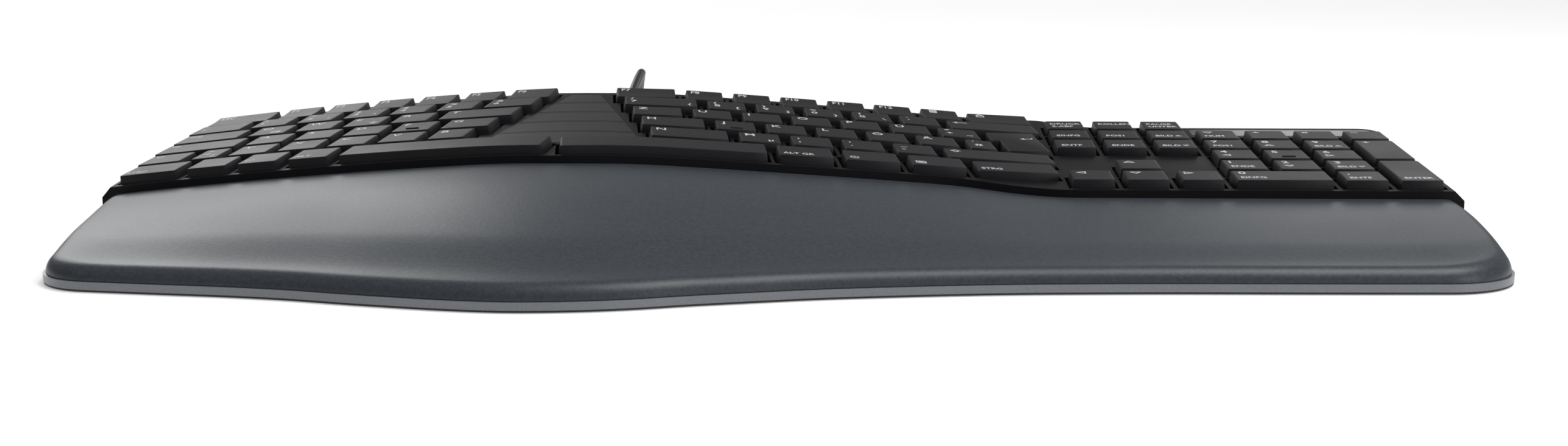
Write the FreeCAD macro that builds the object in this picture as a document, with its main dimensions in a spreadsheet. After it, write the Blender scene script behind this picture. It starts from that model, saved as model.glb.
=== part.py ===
import FreeCAD, Part
import math
import os

# Wired ergonomic keyboard with a domed, splayed key field and a padded palm rest.
# X runs to the right, Y away from the typist and Z up, in millimetres. The origin is
# the middle of the keyboard's footprint on the table.

Vector = FreeCAD.Vector
Placement = FreeCAD.Placement
Rotation = FreeCAD.Rotation

os.makedirs("parts", exist_ok=True)
doc = FreeCAD.newDocument("ergonomic_keyboard")
sheet = doc.addObject("Spreadsheet::Sheet", "sizes")

driving_sizes = [
    ("key_pitch", 19.05, "from one key to the next, along and across the rows"),
    ("cap_side_gap", 4.7, "between two key tops in a row"),
    ("cap_row_gap", 3.55, "between two key tops across the rows"),
    ("cap_height", 6.5, "key top to skirt"),
    ("cap_side_flare", 0.85, "how much further the skirt stands out at each side"),
    ("cap_front_flare", 0.55, "the same at the front and back"),
    ("cap_wall", 1.2, "skirt wall"),
    ("cap_roof", 1.5, "under the key top"),
    ("cap_bevel", 0.35, "bevel round the key top"),
    ("key_travel", 3.2, "full stroke of a key"),
    ("stem_radius", 2.8, "plunger under each key"),
    ("guide_clearance", 0.5, "plunger to guide hole"),
    ("guide_gap", 0.5, "pressed skirt to guide plate"),
    ("guide_thickness", 1.4, "guide plate"),
    ("guide_sleeve", 1.2, "wall of the sleeves that space the guide plate"),
    ("seat_margin", 0.15, "seats under the wide keys above the level guide plate"),
    ("stem_reach", 0.2, "plunger below the guide plate"),
    ("dome_gap", 0.3, "plunger to dome at rest"),
    ("dome_height", 3.4, "rubber dome"),
    ("dome_foot_radius", 4.4, "dome at its foot"),
    ("dome_top_radius", 2.5, "dome at its top"),
    ("dome_wall", 0.8, "dome wall"),
    ("layer_gap", 0.2, "between dome, membrane, plate and ribs"),
    ("membrane_thickness", 0.3, "printed switch membrane"),
    ("plate_thickness", 0.5, "steel support plate"),
    ("deck_drop", 3.0, "key tops above the deck"),
    ("deck_thickness", 2.0, "deck of the top frame"),
    ("well_side_clearance", 0.75, "skirt to key well, sideways"),
    ("well_row_clearance", 0.6, "skirt to key well, front and back"),
    ("pad_height", 21.9, "key tops at the front of the arrow keys"),
    ("field_slope", 3.64, "degrees that the key field rises to the back"),
    ("crown_rise", 13.25, "height of the dome over the flat part"),
    ("crown_half", 36.0, "half the rounded top of the dome"),
    ("crown_slope", 4.807, "degrees where the rounded top ends"),
    ("left_curl", 0.000412, "steepening of the left flank per millimetre"),
    ("right_curl", 0.000153, "steepening of the right flank per millimetre"),
    ("crown_growth", 0.000667, "how the dome grows to the back per millimetre"),
    ("crown_blend", 24.0, "hollow between the right flank and the flat part"),
    ("splay", 6.5, "degrees that each hand's block is turned"),
    ("pad_offset_x", 173.9, "crown line to the arrow and number keys"),
    ("pad_offset_y", 16.9, "how far these stand in front of the letter keys"),
    ("lip_width", 1.8, "deck in front of the first row's cells"),
    ("left_margin", 3.1, "deck beside the left keys' cells"),
    ("right_margin", 4.1, "deck beside the number pad's cells"),
    ("back_margin", 7.2, "deck behind the letter blocks' cells"),
    ("pad_back_margin", 3.6, "deck behind the number pad's cells"),
    ("frame_wall", 2.0, "side wall of the top frame"),
    ("frame_bottom", 4.6, "lower edge of the top frame's wall"),
    ("frame_bevel", 3.3, "bevel along the frame's sides and back"),
    ("frame_inner_bevel", 1.8, "the same inside the frame"),
    ("frame_corner", 11.0, "plan radius of the frame's back corners"),
    ("case_bottom", 0.6, "underside of the case above the table"),
    ("case_floor", 1.4, "floor of the case"),
    ("case_seam", 0.3, "joint between case and top frame"),
    ("case_tongue", 1.2, "tongue of the case inside the frame's wall"),
    ("tongue_reach", 3.0, "how far the tongue stands up in the frame"),
    ("rib_thickness", 1.6, "support ribs in the case"),
    ("rib_spacing", 57.0, "between two ribs of the case"),
    ("boss_radius", 3.2, "screw boss under the deck"),
    ("boss_clearance", 0.6, "inner layers to screw bosses"),
    ("screw_radius", 1.4, "screw shank"),
    ("screw_clearance", 0.1, "screw to the hole it sits in"),
    ("screw_head_radius", 2.6, "screw head"),
    ("screw_head_height", 1.6, "screw head"),
    ("screw_length", 9.0, "screw under its head"),
    ("seat_thickness", 1.5, "case under each screw head"),
    ("seat_wall", 1.8, "case round each screw head"),
    ("palm_left_corner", 23.0, "plan radius of the left front corner"),
    ("palm_right_corner", 27.0, "plan radius of the right front corner"),
    ("palm_left_taper", 13.3, "how far the left side draws in towards its front corner"),
    ("palm_right_taper", 3.3, "the same on the right"),
    ("palm_gap", 0.4, "palm rest to frame and case"),
    ("palm_plate_top", 3.0, "top of the palm rest's base plate"),
    ("trim_bottom", 1.0, "lower edge of the silver strip"),
    ("trim_height", 2.5, "silver strip"),
    ("trim_width", 1.6, "silver strip, front to back"),
    ("trim_clearance", 0.15, "silver strip to base plate and cushion"),
    ("skirt_inset", 0.6, "base plate's edge behind the silver strip's face"),
    ("cushion_below_lip", 2.8, "cushion's back edge below the deck"),
    ("cushion_nose", 1.4, "upright part of the cushion's front"),
    ("cushion_fall", 4.0, "width over which the cushion's ends roll down"),
    ("foot_width", 30.0, "flip-out foot"),
    ("foot_length", 22.0, "flip-out foot over all"),
    ("foot_thickness", 5.0, "flip-out foot"),
    ("foot_pin_radius", 1.5, "pivot pin"),
    ("foot_pin_length", 1.5, "pivot pin beyond the foot's side"),
    ("foot_clearance", 0.5, "foot to its pocket"),
    ("foot_pin_clearance", 0.08, "pin to its hole"),
    ("foot_lift", 0.2, "folded foot above the case's underside"),
    ("pocket_wall", 1.8, "walls of the foot's pocket"),
    ("foot_x", 148.0, "feet from the middle of the keyboard"),
    ("foot_inset", 19.0, "pivots from the back edge of the number pad"),
    ("pad_radius", 6.0, "rubber foot pad"),
    ("pad_inset", 24.0, "rubber pads from the keyboard's edges"),
    ("window_length", 72.0, "indicator window"),
    ("window_depth", 12.0, "indicator window, front to back"),
    ("window_corner", 2.5, "corner radius of the window"),
    ("window_clearance", 0.2, "window to frame"),
    ("window_flange", 1.4, "hidden rim of the window"),
    ("light_radius", 1.5, "light guides under the window"),
    ("light_spacing", 17.0, "between two light guides"),
    ("light_gap", 0.4, "light guide to the board"),
    ("board_length", 42.0, "controller board"),
    ("board_depth", 13.0, "controller board, front to back"),
    ("board_thickness", 1.6, "controller board"),
    ("board_lift", 2.6, "board above the case floor"),
    ("peg_radius", 1.8, "pegs under the board"),
    ("chip_length", 9.0, "chip on the board"),
    ("chip_width", 7.0, "chip on the board"),
    ("chip_height", 1.2, "chip on the board"),
    ("panel_margin", 1.3, "centre panel to the keys' cells"),
    ("panel_proud", 0.15, "centre panel above the deck"),
    ("panel_clearance", 0.15, "centre panel to the deck round it"),
    ("panel_flange", 1.2, "hidden rim of the centre panel"),
    ("groove_width", 0.45, "engraved lines of the centre panel"),
    ("groove_depth", 0.35, "engraved lines of the centre panel"),
    ("groove_spacing", 1.6, "between the two lines of each pair"),
    ("cord_diameter", 3.8, "cord"),
    ("cord_exit_x", 5.6, "cord from the crown line"),
    ("relief_length", 20.0, "strain relief behind the wall"),
    ("relief_radius", 4.2, "strain relief at the wall"),
    ("relief_end_radius", 2.7, "strain relief at its end"),
    ("relief_neck", 3.2, "radius of the neck in the wall"),
    ("relief_flange", 4.2, "radius of the flange inside the wall"),
    ("relief_flange_thickness", 1.0, "flange inside the wall"),
    ("relief_clearance", 0.3, "strain relief to the wall"),
    ("relief_height", 32.5, "cord above the table where it leaves"),
    ("coil_radius", 16.5, "innermost turn of the coil, to the cord's middle"),
    ("coil_gap", 0.6, "between the turns of the coil"),
    ("coil_turns", 2.25, "turns in each layer of the coil"),
    ("coil_layers", 4.0, "layers in the coil"),
    ("coil_x", 80.0, "coil from the crown line"),
    ("coil_y", 160.0, "coil behind the letter keys' front"),
    ("tail_length", 27.0, "straight end of the cord before the plug"),
    ("tie_width", 7.0, "strap round the coil"),
    ("tie_thickness", 1.0, "strap round the coil"),
    ("tie_clearance", 0.8, "strap to the coil"),
    ("plug_width", 15.6, "plug grip"),
    ("plug_height", 7.8, "plug grip"),
    ("plug_length", 26.0, "plug grip"),
    ("plug_round", 1.5, "edges of the plug grip"),
    ("shell_width", 12.0, "plug shell"),
    ("shell_height", 4.5, "plug shell"),
    ("shell_length", 18.0, "plug shell beyond the grip"),
    ("shell_wall", 0.4, "plug shell"),
]
for row, (alias, value, meaning) in enumerate(driving_sizes, start=1):
    sheet.set(f"A{row}", meaning)
    sheet.set(f"B{row}", str(value))
    sheet.setAlias(f"B{row}", alias)
doc.recompute()


def size(alias):
    """The value of one named cell of the sheet."""
    return float(sheet.get(alias))


# Depths below the key tops, from the deck down to the steel plate.
pitch = size("key_pitch")
cap_height = size("cap_height")
deck_drop = size("deck_drop")
deck_under = deck_drop + size("deck_thickness")
guide_top = cap_height + size("key_travel") + size("guide_gap")
guide_under = guide_top + size("guide_thickness")
stem_end = guide_under + size("stem_reach")
dome_foot = stem_end + size("dome_gap") + size("dome_height")
membrane_top = dome_foot + size("layer_gap")
membrane_under = membrane_top + size("membrane_thickness")
plate_top = membrane_under + size("layer_gap")
plate_under = plate_top + size("plate_thickness")
rib_top = plate_under + size("layer_gap")
floor_bottom = size("case_bottom")
floor_top = floor_bottom + size("case_floor")
sky = 80.0

# The layout is worked out from the crown line (x = 0) and the front of the bottom
# letter keys beside it (y = 0), and moved to the footprint's middle at the end.
slope = math.tan(math.radians(size("field_slope")))
crown_tangent = math.tan(math.radians(size("crown_slope")))
crown_half = size("crown_half")
crown_rise = size("crown_rise")
row_count = 6


def flank_end():
    """Distance beyond the rounded top where the right flank starts its hollow."""
    curl = size("right_curl")
    blend = size("crown_blend")
    b = crown_tangent + curl * blend / 2
    c = crown_rise - crown_tangent * crown_half / 2 - crown_tangent * blend / 2
    return (math.sqrt(b * b + 2 * curl * c) - b) / curl


hollow_start = flank_end()
hollow_end = hollow_start + size("crown_blend")


def dome_rise(x):
    """Height of the key tops over the flat part, at the level of the letter rows."""
    away = abs(x)
    inner = min(away, crown_half)
    outer = max(away - crown_half, 0.0)
    curl = size("left_curl") if x < 0 else size("right_curl")
    if x > 0 and outer >= hollow_end:
        return 0.0
    if x > 0 and outer > hollow_start:
        steep = crown_tangent + curl * hollow_start
        return steep * (hollow_end - outer) ** 2 / (2 * size("crown_blend"))
    fall = crown_tangent * (inner * inner / (2 * crown_half) + outer)
    return crown_rise - fall - curl * outer * outer / 2


def key_top(x, y):
    """Height of the key tops above the table."""
    flat = size("pad_height") + slope * (y + size("pad_offset_y"))
    return flat + dome_rise(x) * (1 + size("crown_growth") * y)


def deck_normal(x, y):
    step = 0.5
    along = Vector(2 * step, 0, key_top(x + step, y) - key_top(x - step, y))
    back = Vector(0, 2 * step, key_top(x, y + step) - key_top(x, y - step))
    return along.cross(back).normalize()


# Keys keep their pitch along the slopes, so their pitch in plan is a little shorter.
flank_slope = crown_tangent + size("left_curl") * pitch * 3.5
pitch_u = pitch * math.cos(math.atan(flank_slope))
pitch_v = pitch * math.cos(math.atan(slope + crown_rise * size("crown_growth")))
pad_pitch_v = pitch * math.cos(math.atan(slope))


def plan_point(block, u, v):
    """Plan position of a point u keys along and v rows up in a block."""
    if block == "pad":
        return Vector(size("pad_offset_x") + u * pitch, v * pad_pitch_v - size("pad_offset_y"), 0)
    side = -1 if block == "left" else 1
    turn = math.radians(size("splay")) * -side
    across, back = u * pitch_u, (v - 1) * pitch_v - size("cap_row_gap") / 2
    x = side * crown_half + across * math.cos(turn) + back * math.sin(turn)
    return Vector(x, back * math.cos(turn) - across * math.sin(turn), 0)


def key_placement(block, u, v):
    """Placement of a key whose middle stands at u, v, with its Z square to the deck."""
    at = plan_point(block, u, v)
    at.z = key_top(at.x, at.y)
    normal = deck_normal(at.x, at.y)
    along = plan_point(block, u + 0.1, v) - plan_point(block, u, v)
    along = (along - normal * along.dot(normal)).normalize()
    return Placement(at, Rotation(along, normal.cross(along), normal, "ZXY"))


# Rows of keys: block, row, where the row starts in keys, and (node, widths) in order.
key_rows = [
    ("left", 0, -6.85, [("key_control_left", [1.35]), ("keys_modifier_left", [1, 1, 1]),
                        ("key_space_left", [4.1])]),
    ("left", 1, -6.95, [("key_shift_left", [1.1]),
                        ("keys_letter_lower_left", [0.75, 1, 1, 1, 1, 0.95])]),
    ("left", 2, -7.05, [("key_caps_lock", [1.9]), ("keys_letter_home_left", [1, 1, 1, 1, 1.2])]),
    ("left", 3, -7.1, [("key_tab", [1.6]), ("keys_letter_upper_left", [1, 1, 1, 1, 1.75])]),
    ("left", 4, -7.2, [("keys_number_left", [1.35, 1, 1, 1, 1, 1, 1.25])]),
    ("left", 5, -7.25, [("key_escape", [1.6]), ("keys_function_left", [1, 1, 1, 1, 1, 1.15])]),
    ("right", 0, -2.3, [("key_space_right", [4.05]), ("keys_modifier_right", [1.25, 1.25, 1.25]),
                        ("key_control_right", [1.75])]),
    ("right", 1, -0.6, [("keys_letter_lower_right", [1.7, 1, 1, 1, 1]), ("key_shift_right", [2.3])]),
    ("right", 2, -0.75, [("keys_letter_home_right", [1.45, 1, 1, 1, 1, 1, 0.75])]),
    ("right", 3, -0.9, [("keys_letter_upper_right", [1.2, 1, 1, 1, 1, 1, 1])]),
    ("right", 4, -1.05, [("keys_number_right", [1.7, 1, 1, 1, 1, 1]), ("key_backspace", [2.05])]),
    ("right", 5, -1.2, [("keys_function_right", [1.45, 1, 1, 1, 1, 1, 1, 1.5])]),
    ("pad", 0, 0, [("key_arrow_left", [1]), ("key_arrow_down", [1]), ("key_arrow_right", [1]),
                   ("key_pad_zero", [2]), ("key_pad_decimal", [1])]),
    ("pad", 1, 1, [("key_arrow_up", [1])]),
    ("pad", 1, 3, [("keys_pad_lower", [1, 1, 1])]),
    ("pad", 2, 3, [("keys_pad_middle", [1, 1, 1])]),
    ("pad", 3, 0, [("keys_edit_lower", [1, 1, 1]), ("keys_pad_upper", [1, 1, 1])]),
    ("pad", 4, 0, [("keys_edit_upper", [1, 1, 1]), ("keys_pad_top", [1, 1, 1, 1])]),
    ("pad", 5, 0, [("keys_system", [1, 1, 1])]),
]
# Keys that are two rows deep: node, where in the pad, lowest row.
tall_keys = [("key_pad_enter", 6, 0), ("key_pad_plus", 6, 2)]
# The return key: a narrow lower part in row 2 under a wider upper part in row 3.
return_right = 7.5
return_lower = 1.05
return_upper = 1.2
return_middle = ("right", return_right - return_lower / 2, 3.0)
wide_key = 1.9
seated_key = 1.75
bar_key = 3.0


def all_keys():
    """Every key but return: node, block, middle u, middle v, width and depth in keys."""
    keys = []
    for block, row, start, groups in key_rows:
        at = start
        for node, widths in groups:
            for width in widths:
                keys.append((node, block, at + width / 2, row + 0.5, width, 1))
                at += width
    for node, at, row in tall_keys:
        keys.append((node, "pad", at + 0.5, row + 1.0, 1, 2))
    return keys


def return_parts():
    """The return key's two parts: width, depth, and middle along and back in keys."""
    shift = (return_lower - return_upper) / 2
    return (return_lower, 2, 0.0, 0.0), (return_upper, 1, shift, 0.5)


def post_places(width, depth):
    """Where a key's plunger and its guide posts stand under it."""
    places = [(0.0, 0.0)]
    reach = (max(width, depth) - 1) * pitch / 2
    if width >= wide_key:
        places += [(-reach, 0.0), (reach, 0.0)]
    if depth > 1:
        places += [(0.0, -reach), (0.0, reach)]
    return places


def cap_size(width, depth):
    return width * pitch - size("cap_side_gap"), depth * pitch - size("cap_row_gap")


def add_wedge(name, width, depth, inset, drop, x=0.0, y=0.0):
    """A tapering block from drop under the key top to the skirt, bound to the sheet."""
    wedge = doc.addObject("Part::Wedge", name)
    half_x = f"({width} * sizes.key_pitch - sizes.cap_side_gap) / 2 - {inset}"
    half_y = f"({depth} * sizes.key_pitch - sizes.cap_row_gap) / 2 - {inset}"
    share = f"({drop}) / sizes.cap_height"
    bounds = [("X2", f"{half_x} + sizes.cap_side_flare * {share}"),
              ("Z2", f"{half_y} + sizes.cap_front_flare * {share}"),
              ("X", f"{half_x} + sizes.cap_side_flare"),
              ("Z", f"{half_y} + sizes.cap_front_flare")]
    for field, expression in bounds:
        wedge.setExpression(field + "max", expression)
        wedge.setExpression(field + "min", f"-({expression})")
    wedge.Ymin = 0
    wedge.setExpression("Ymax", f"sizes.cap_height - ({drop})")
    at = Vector(x * pitch, y * pitch, -cap_height)
    wedge.Placement = Placement(at, Rotation(Vector(1, 0, 0), 90))
    return wedge


masters = {}


def key_shape(width, depth):
    """One flat key with its hollow cap and plungers, made once for each size."""
    if (width, depth) in masters:
        return masters[width, depth].Shape
    name = f"master_{width}_{depth}".replace(".", "_")
    outer = add_wedge(name + "_cap", width, depth, "0", "0")
    inner = add_wedge(name + "_hollow", width, depth, "sizes.cap_wall", "sizes.cap_roof")
    posts = []
    for n, (x, y) in enumerate(post_places(width, depth)):
        post = doc.addObject("Part::Cylinder", f"{name}_post_{n}")
        post.setExpression("Radius", "sizes.stem_radius")
        post.Height = stem_end - size("cap_roof") / 2
        post.Placement = Placement(Vector(x, y, -stem_end), Rotation())
        posts.append(post)
    doc.recompute()
    rim = [n for n, edge in enumerate(outer.Shape.Edges, start=1)
           if min(v.Point.z for v in edge.Vertexes) > -size("cap_bevel") / 2]
    bevel = doc.addObject("Part::Chamfer", name + "_bevel")
    bevel.Base = outer
    bevel.Edges = [(n, size("cap_bevel"), size("cap_bevel")) for n in rim]
    shell = doc.addObject("Part::Cut", name + "_shell")
    shell.Base = bevel
    shell.Tool = inner
    whole = doc.addObject("Part::MultiFuse", name)
    whole.Shapes = [shell] + posts
    doc.recompute()
    masters[width, depth] = whole
    return whole.Shape


def return_shape():
    """The L-shaped return key."""
    caps, hollows = [], []
    for n, (width, depth, x, y) in enumerate(return_parts()):
        caps.append(add_wedge(f"return_cap_{n}", width, depth, "0", "0", x, y))
        hollows.append(add_wedge(f"return_hollow_{n}", width, depth, "sizes.cap_wall",
                                 "sizes.cap_roof", x, y))
    doc.recompute()
    outer = caps[0].Shape.fuse(caps[1].Shape).removeSplitter()
    rim = [e for e in outer.Edges if min(v.Point.z for v in e.Vertexes) > -size("cap_bevel") / 2]
    shell = outer.makeChamfer(size("cap_bevel"), rim).cut([h.Shape for h in hollows])
    height = stem_end - size("cap_roof") / 2
    posts = [Part.makeCylinder(size("stem_radius"), height, Vector(x, y, -stem_end))
             for x, y in post_places(1, 2)]
    return shell.fuse(posts)


nodes = {}


def add_node(name, shape):
    """A finished sub-part as an object of the document, under its own label."""
    feature = doc.addObject("Part::Feature", name)
    feature.Label = name
    feature.Shape = shape
    feature.Placement = to_middle.multiply(shape.Placement)
    nodes[name] = feature
    return feature


# Plan outlines of the frame and the palm rest.
left_edge = plan_point("left", key_rows[0][2], 0).x - size("left_margin")
right_edge = plan_point("pad", 7, 0).x + size("right_margin")


def corner_points(before, corner, after, reach):
    """Start, middle and end of the arc that rounds a corner, and its radius."""
    into = (corner - before).normalize()
    out = (after - corner).normalize()
    half = into.getAngle(out) / 2
    radius = reach / math.tan(half)
    start, end = corner - into * reach, corner + out * reach
    inward = (out - into).normalize()
    return start, corner + inward * (radius / math.cos(half) - radius), end, radius


def corner_arc(before, corner, after, reach):
    start, between, end, radius = corner_points(before, corner, after, reach)
    return Part.Arc(start, between, end).toShape(), start, end, radius


def biarc(p, way_p, q, way_q):
    """Two tangent arcs that leave p along way_p and arrive at q along way_q."""
    chord = q - p
    both = way_p + way_q
    spread = 2 * (1 - way_p.dot(way_q))
    along = chord.dot(both)
    reach = chord.dot(chord) / (math.sqrt(along * along + spread * chord.dot(chord)) + along)
    first, second = p + way_p * reach, q - way_q * reach
    joint = (first + second) * 0.5
    return [corner_arc(p, first, joint, reach)[0], corner_arc(joint, second, q, reach)[0]]


def rounded_face(points, radii):
    """A plan face through the points, with each corner rounded by its radius."""
    edges, ends = [], []
    count = len(points)
    for n, (corner, radius) in enumerate(zip(points, radii)):
        before, after = points[n - 1], points[(n + 1) % count]
        if radius == 0:
            ends.append((corner, corner))
            continue
        half = (corner - before).getAngle(after - corner) / 2
        start, between, end, _ = corner_points(before, corner, after, radius * math.tan(half))
        edges.append(Part.Arc(start, between, end).toShape())
        ends.append((start, end))
    for n in range(count):
        edges.append(Part.LineSegment(ends[n][1], ends[(n + 1) % count][0]).toShape())
    return Part.Face(Part.Wire(Part.__sortEdges__(edges)))


def row_line(block, v, x, beyond):
    """Point at x on a row boundary of a block, moved back by beyond."""
    a, b = plan_point(block, 0, v), plan_point(block, 1, v)
    return Vector(x, a.y + (x - a.x) * (b.y - a.y) / (b.x - a.x) + beyond, 0)


def frame_outline():
    lip, back, pad_back = size("lip_width"), size("back_margin"), size("pad_back_margin")
    pad_x = size("pad_offset_x")
    points = [row_line("left", 0, left_edge, -lip), row_line("left", 0, 0, -lip),
              row_line("right", 0, pad_x - 2 * pitch, -lip), row_line("pad", 0, pad_x, -lip),
              row_line("pad", 0, right_edge, -lip), row_line("pad", row_count, right_edge, pad_back),
              row_line("pad", row_count, pad_x + pitch * 1.1, pad_back),
              row_line("right", row_count, pad_x + 1, back), row_line("right", row_count, 0, back),
              row_line("left", row_count, left_edge, back)]
    corner = size("frame_corner")
    return rounded_face(points, [0, 90, 60, 60, 0, corner, 14, 12, 60, corner])


# The palm rest's front edge: x from the crown line and reach in front of the letter keys.
palm_front = [(-128.0, -116.6), (-82.0, -124.0), (-46.0, -134.1), (-17.4, -140.7), (1.1, -142.0),
              (25.8, -138.7), (56.0, -129.4), (98.0, -118.8), (158.1, -111.0), (276.0, -107.7)]
palm_tip = 4


def palm_outline():
    """Plan outline of the palm rest, which is cut back to the frame's front later."""
    points = [Vector(x, y, 0) for x, y in palm_front]
    left_way = (points[1] - points[0]).normalize()
    right_way = (points[-1] - points[-2]).normalize()
    ways = [(c - a).normalize() for a, c in zip(points, points[2:])]
    ways = [left_way] + ways + [right_way]
    edges = []
    for p, way_p, q, way_q in zip(points, ways, points[1:], ways[1:]):
        edges += biarc(p, way_p, q, way_q)

    corners = []
    for end, knee, outward, taper, radius in (
            (points[0], row_line("left", 0, left_edge, -size("lip_width")), left_way * -1,
             size("palm_left_taper"), size("palm_left_corner")),
            (points[-1], row_line("pad", 0, right_edge, -size("lip_width")), right_way,
             size("palm_right_taper"), size("palm_right_corner"))):
        meet = end + outward * ((abs(knee.x - end.x) - taper) / abs(outward.x))
        half = (meet - knee).getAngle(end - meet) / 2
        start, between, stop, _ = corner_points(knee, meet, end, radius * math.tan(half))
        side = Vector(knee.x, 20, 0)
        edges.append(Part.LineSegment(side, knee).toShape())
        edges.append(Part.LineSegment(knee, start).toShape())
        edges.append(Part.Arc(start, between, stop).toShape())
        edges.append(Part.LineSegment(stop, end).toShape())
        corners.append(side)
    edges.append(Part.LineSegment(corners[1], corners[0]).toShape())
    return Part.Face(Part.Wire(Part.__sortEdges__(edges)))


def inset(face, distance):
    """The plan face drawn in by a distance, or grown where it is negative."""
    return face.makeOffset2D(-distance).Faces[0]


def prism(face, bottom, top):
    """A plan face drawn up from one height to another."""
    flat = face.copy()
    flat.translate(Vector(0, 0, bottom))
    return flat.extrude(Vector(0, 0, top - bottom))


def span(face, x):
    """Front and back of a plan face at x."""
    line = Part.makeLine(Vector(x, -400, 0), Vector(x, 400, 0)).common(face)
    return line.BoundBox.YMin, line.BoundBox.YMax


frame_face = frame_outline()
palm_face = palm_outline()
grown_face = inset(frame_face, -size("palm_gap"))
front_edge = palm_face.BoundBox.YMin
back_edge = frame_face.BoundBox.YMax
to_middle = Placement(Vector(-(left_edge + right_edge) / 2, -(front_edge + back_edge) / 2, 0),
                      Rotation())


def crown_block(drop):
    """Everything under the surface that lies drop below the key tops."""
    reach = 60.0
    stations = [left_edge - reach, -crown_half, crown_half, crown_half + hollow_start,
                crown_half + hollow_end, right_edge + reach]
    wires = []
    for y in (front_edge - reach, back_edge + reach):
        top = [Vector(x, y, key_top(x, y) - drop) for x in stations]
        edges = []
        for a, b in zip(top, top[1:]):
            x = (a.x + b.x) / 2
            if dome_rise(x) == 0:
                edges.append(Part.LineSegment(a, b).toShape())
            else:
                edges.append(Part.Arc(a, Vector(x, y, key_top(x, y) - drop), b).toShape())
        low = [Vector(top[-1].x, y, -40), Vector(top[0].x, y, -40)]
        edges.append(Part.LineSegment(top[-1], low[0]).toShape())
        edges.append(Part.LineSegment(low[0], low[1]).toShape())
        edges.append(Part.LineSegment(low[1], top[0]).toShape())
        wires.append(Part.Wire(edges))
    return Part.makeLoft(wires, True, True)


def layer(face, top, under):
    """A sheet of the plan shape of face between two depths below the key tops."""
    return prism(face, -5, sky).common(crown_block(top)).cut(crown_block(under))


def bar_shape(block, u, v, width):
    """A space bar, whose top follows the curve of the deck, in its final place."""
    place = key_placement(block, u, v)

    def block_of(inset_by, deep):
        reach = 12.0
        long, wide = cap_size(width, 1)
        flare_x, flare_y = size("cap_side_flare") / cap_height, size("cap_front_flare") / cap_height
        wires = []
        for z in (-reach, reach / 2):
            hx, hy = long / 2 - flare_x * z - inset_by, wide / 2 - flare_y * z - inset_by
            corners = [Vector(-hx, -hy, z), Vector(hx, -hy, z), Vector(hx, hy, z), Vector(-hx, hy, z)]
            wires.append(Part.makePolygon(corners + corners[:1]))
        solid = Part.makeLoft(wires, True, True)
        solid.Placement = place
        return solid.common(crown_block(deep))

    outer = block_of(0, 0).cut(crown_block(cap_height))
    rim = []
    for edge in outer.Edges:
        points = [edge.valueAt(edge.FirstParameter + (edge.LastParameter - edge.FirstParameter) * f)
                  for f in (0.0, 0.5, 1.0)]
        if all(abs(key_top(p.x, p.y) - p.z) < 0.25 for p in points):
            rim.append(edge)
    shell = outer.makeChamfer(size("cap_bevel"), rim).cut(block_of(size("cap_wall"), size("cap_roof")))
    posts = []
    for x, y in post_places(width, 1):
        post = Part.makeCylinder(size("stem_radius"), 3 * stem_end, Vector(x, y, -2 * stem_end))
        post.Placement = place
        posts.append(post.common(crown_block(size("cap_roof") / 2)).cut(crown_block(stem_end)))
    return shell.fuse(posts)


def build_keys():
    """Every key, gathered into its node."""
    groups = {}
    for node, block, u, v, width, deep in all_keys():
        if width > bar_key:
            shape = bar_shape(block, u, v, width)
        else:
            shape = key_shape(width, deep).copy()
            shape.Placement = key_placement(block, u, v)
        groups.setdefault(node, []).append(shape)
    shape = return_shape()
    shape.Placement = key_placement(*return_middle)
    groups["key_enter"] = [shape]
    for node, shapes in groups.items():
        add_node(node, Part.makeCompound(shapes) if len(shapes) > 1 else shapes[0])


def key_block(place, width, deep, low, height, x=0.0, y=0.0):
    """A block round a key with the clearance of its well, from low under the key top."""
    long, wide = cap_size(width, deep)
    long += 2 * (size("cap_side_flare") + size("well_side_clearance"))
    wide += 2 * (size("cap_front_flare") + size("well_row_clearance"))
    block = Part.makeBox(long, wide, height, Vector(x * pitch - long / 2, y * pitch - wide / 2, -low))
    block.Placement = place
    return block


def key_wells():
    """Blocks that cut the key wells through the deck."""
    depth = deck_under + 4
    wells = [key_block(key_placement(b, u, v), w, d, depth, 2 * depth) for node, b, u, v, w, d in all_keys()]
    for width, deep, x, y in return_parts():
        wells.append(key_block(key_placement(*return_middle), width, deep, depth, 2 * depth, x, y))
    return wells


def key_seats():
    """Blocks over the guide plate where it curves up under the ends of straight keys."""
    low = guide_top - size("seat_margin")
    seats = []
    for node, block, u, v, width, deep in all_keys():
        if block == "right" and seated_key <= width < bar_key:
            seats.append(key_block(key_placement(block, u, v), width, deep, low, cap_height))
    for width, deep, x, y in return_parts():
        seats.append(key_block(key_placement(*return_middle), width, deep, low, cap_height, x, y))
    return seats


def key_places():
    """Placement, width and depth of every key, return included."""
    places = [(key_placement(b, u, v), w, d) for node, b, u, v, w, d in all_keys()]
    return places + [(key_placement(*return_middle), 1, 2)]


def guide_holes():
    radius = size("stem_radius") + size("guide_clearance")
    holes = []
    for place, width, deep in key_places():
        for x, y in post_places(width, deep):
            hole = Part.makeCylinder(radius, 3 * cap_height, Vector(x, y, -guide_under - cap_height))
            hole.Placement = place
            holes.append(hole)
    return holes


def build_domes():
    """One rubber dome under each key's plunger."""
    foot, top, wall = size("dome_foot_radius"), size("dome_top_radius"), size("dome_wall")
    height = size("dome_height")
    outer = Part.makeCone(foot, top, height, Vector(0, 0, -dome_foot))
    inner = Part.makeCone(foot - wall, top - wall, height - wall, Vector(0, 0, -dome_foot))
    dome = outer.cut(inner)
    domes = []
    for place, _, _ in key_places():
        shape = dome.copy()
        shape.Placement = place
        domes.append(shape)
    add_node("rubber_domes", Part.makeCompound(domes))


# Screws go up through the case into bosses of the centre panel and of the deck.
def panel_screws():
    return [(plan_point("left", 0.3, v) + plan_point("right", -0.9, v)) * 0.5 for v in (2.0, 4.9)]


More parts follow.
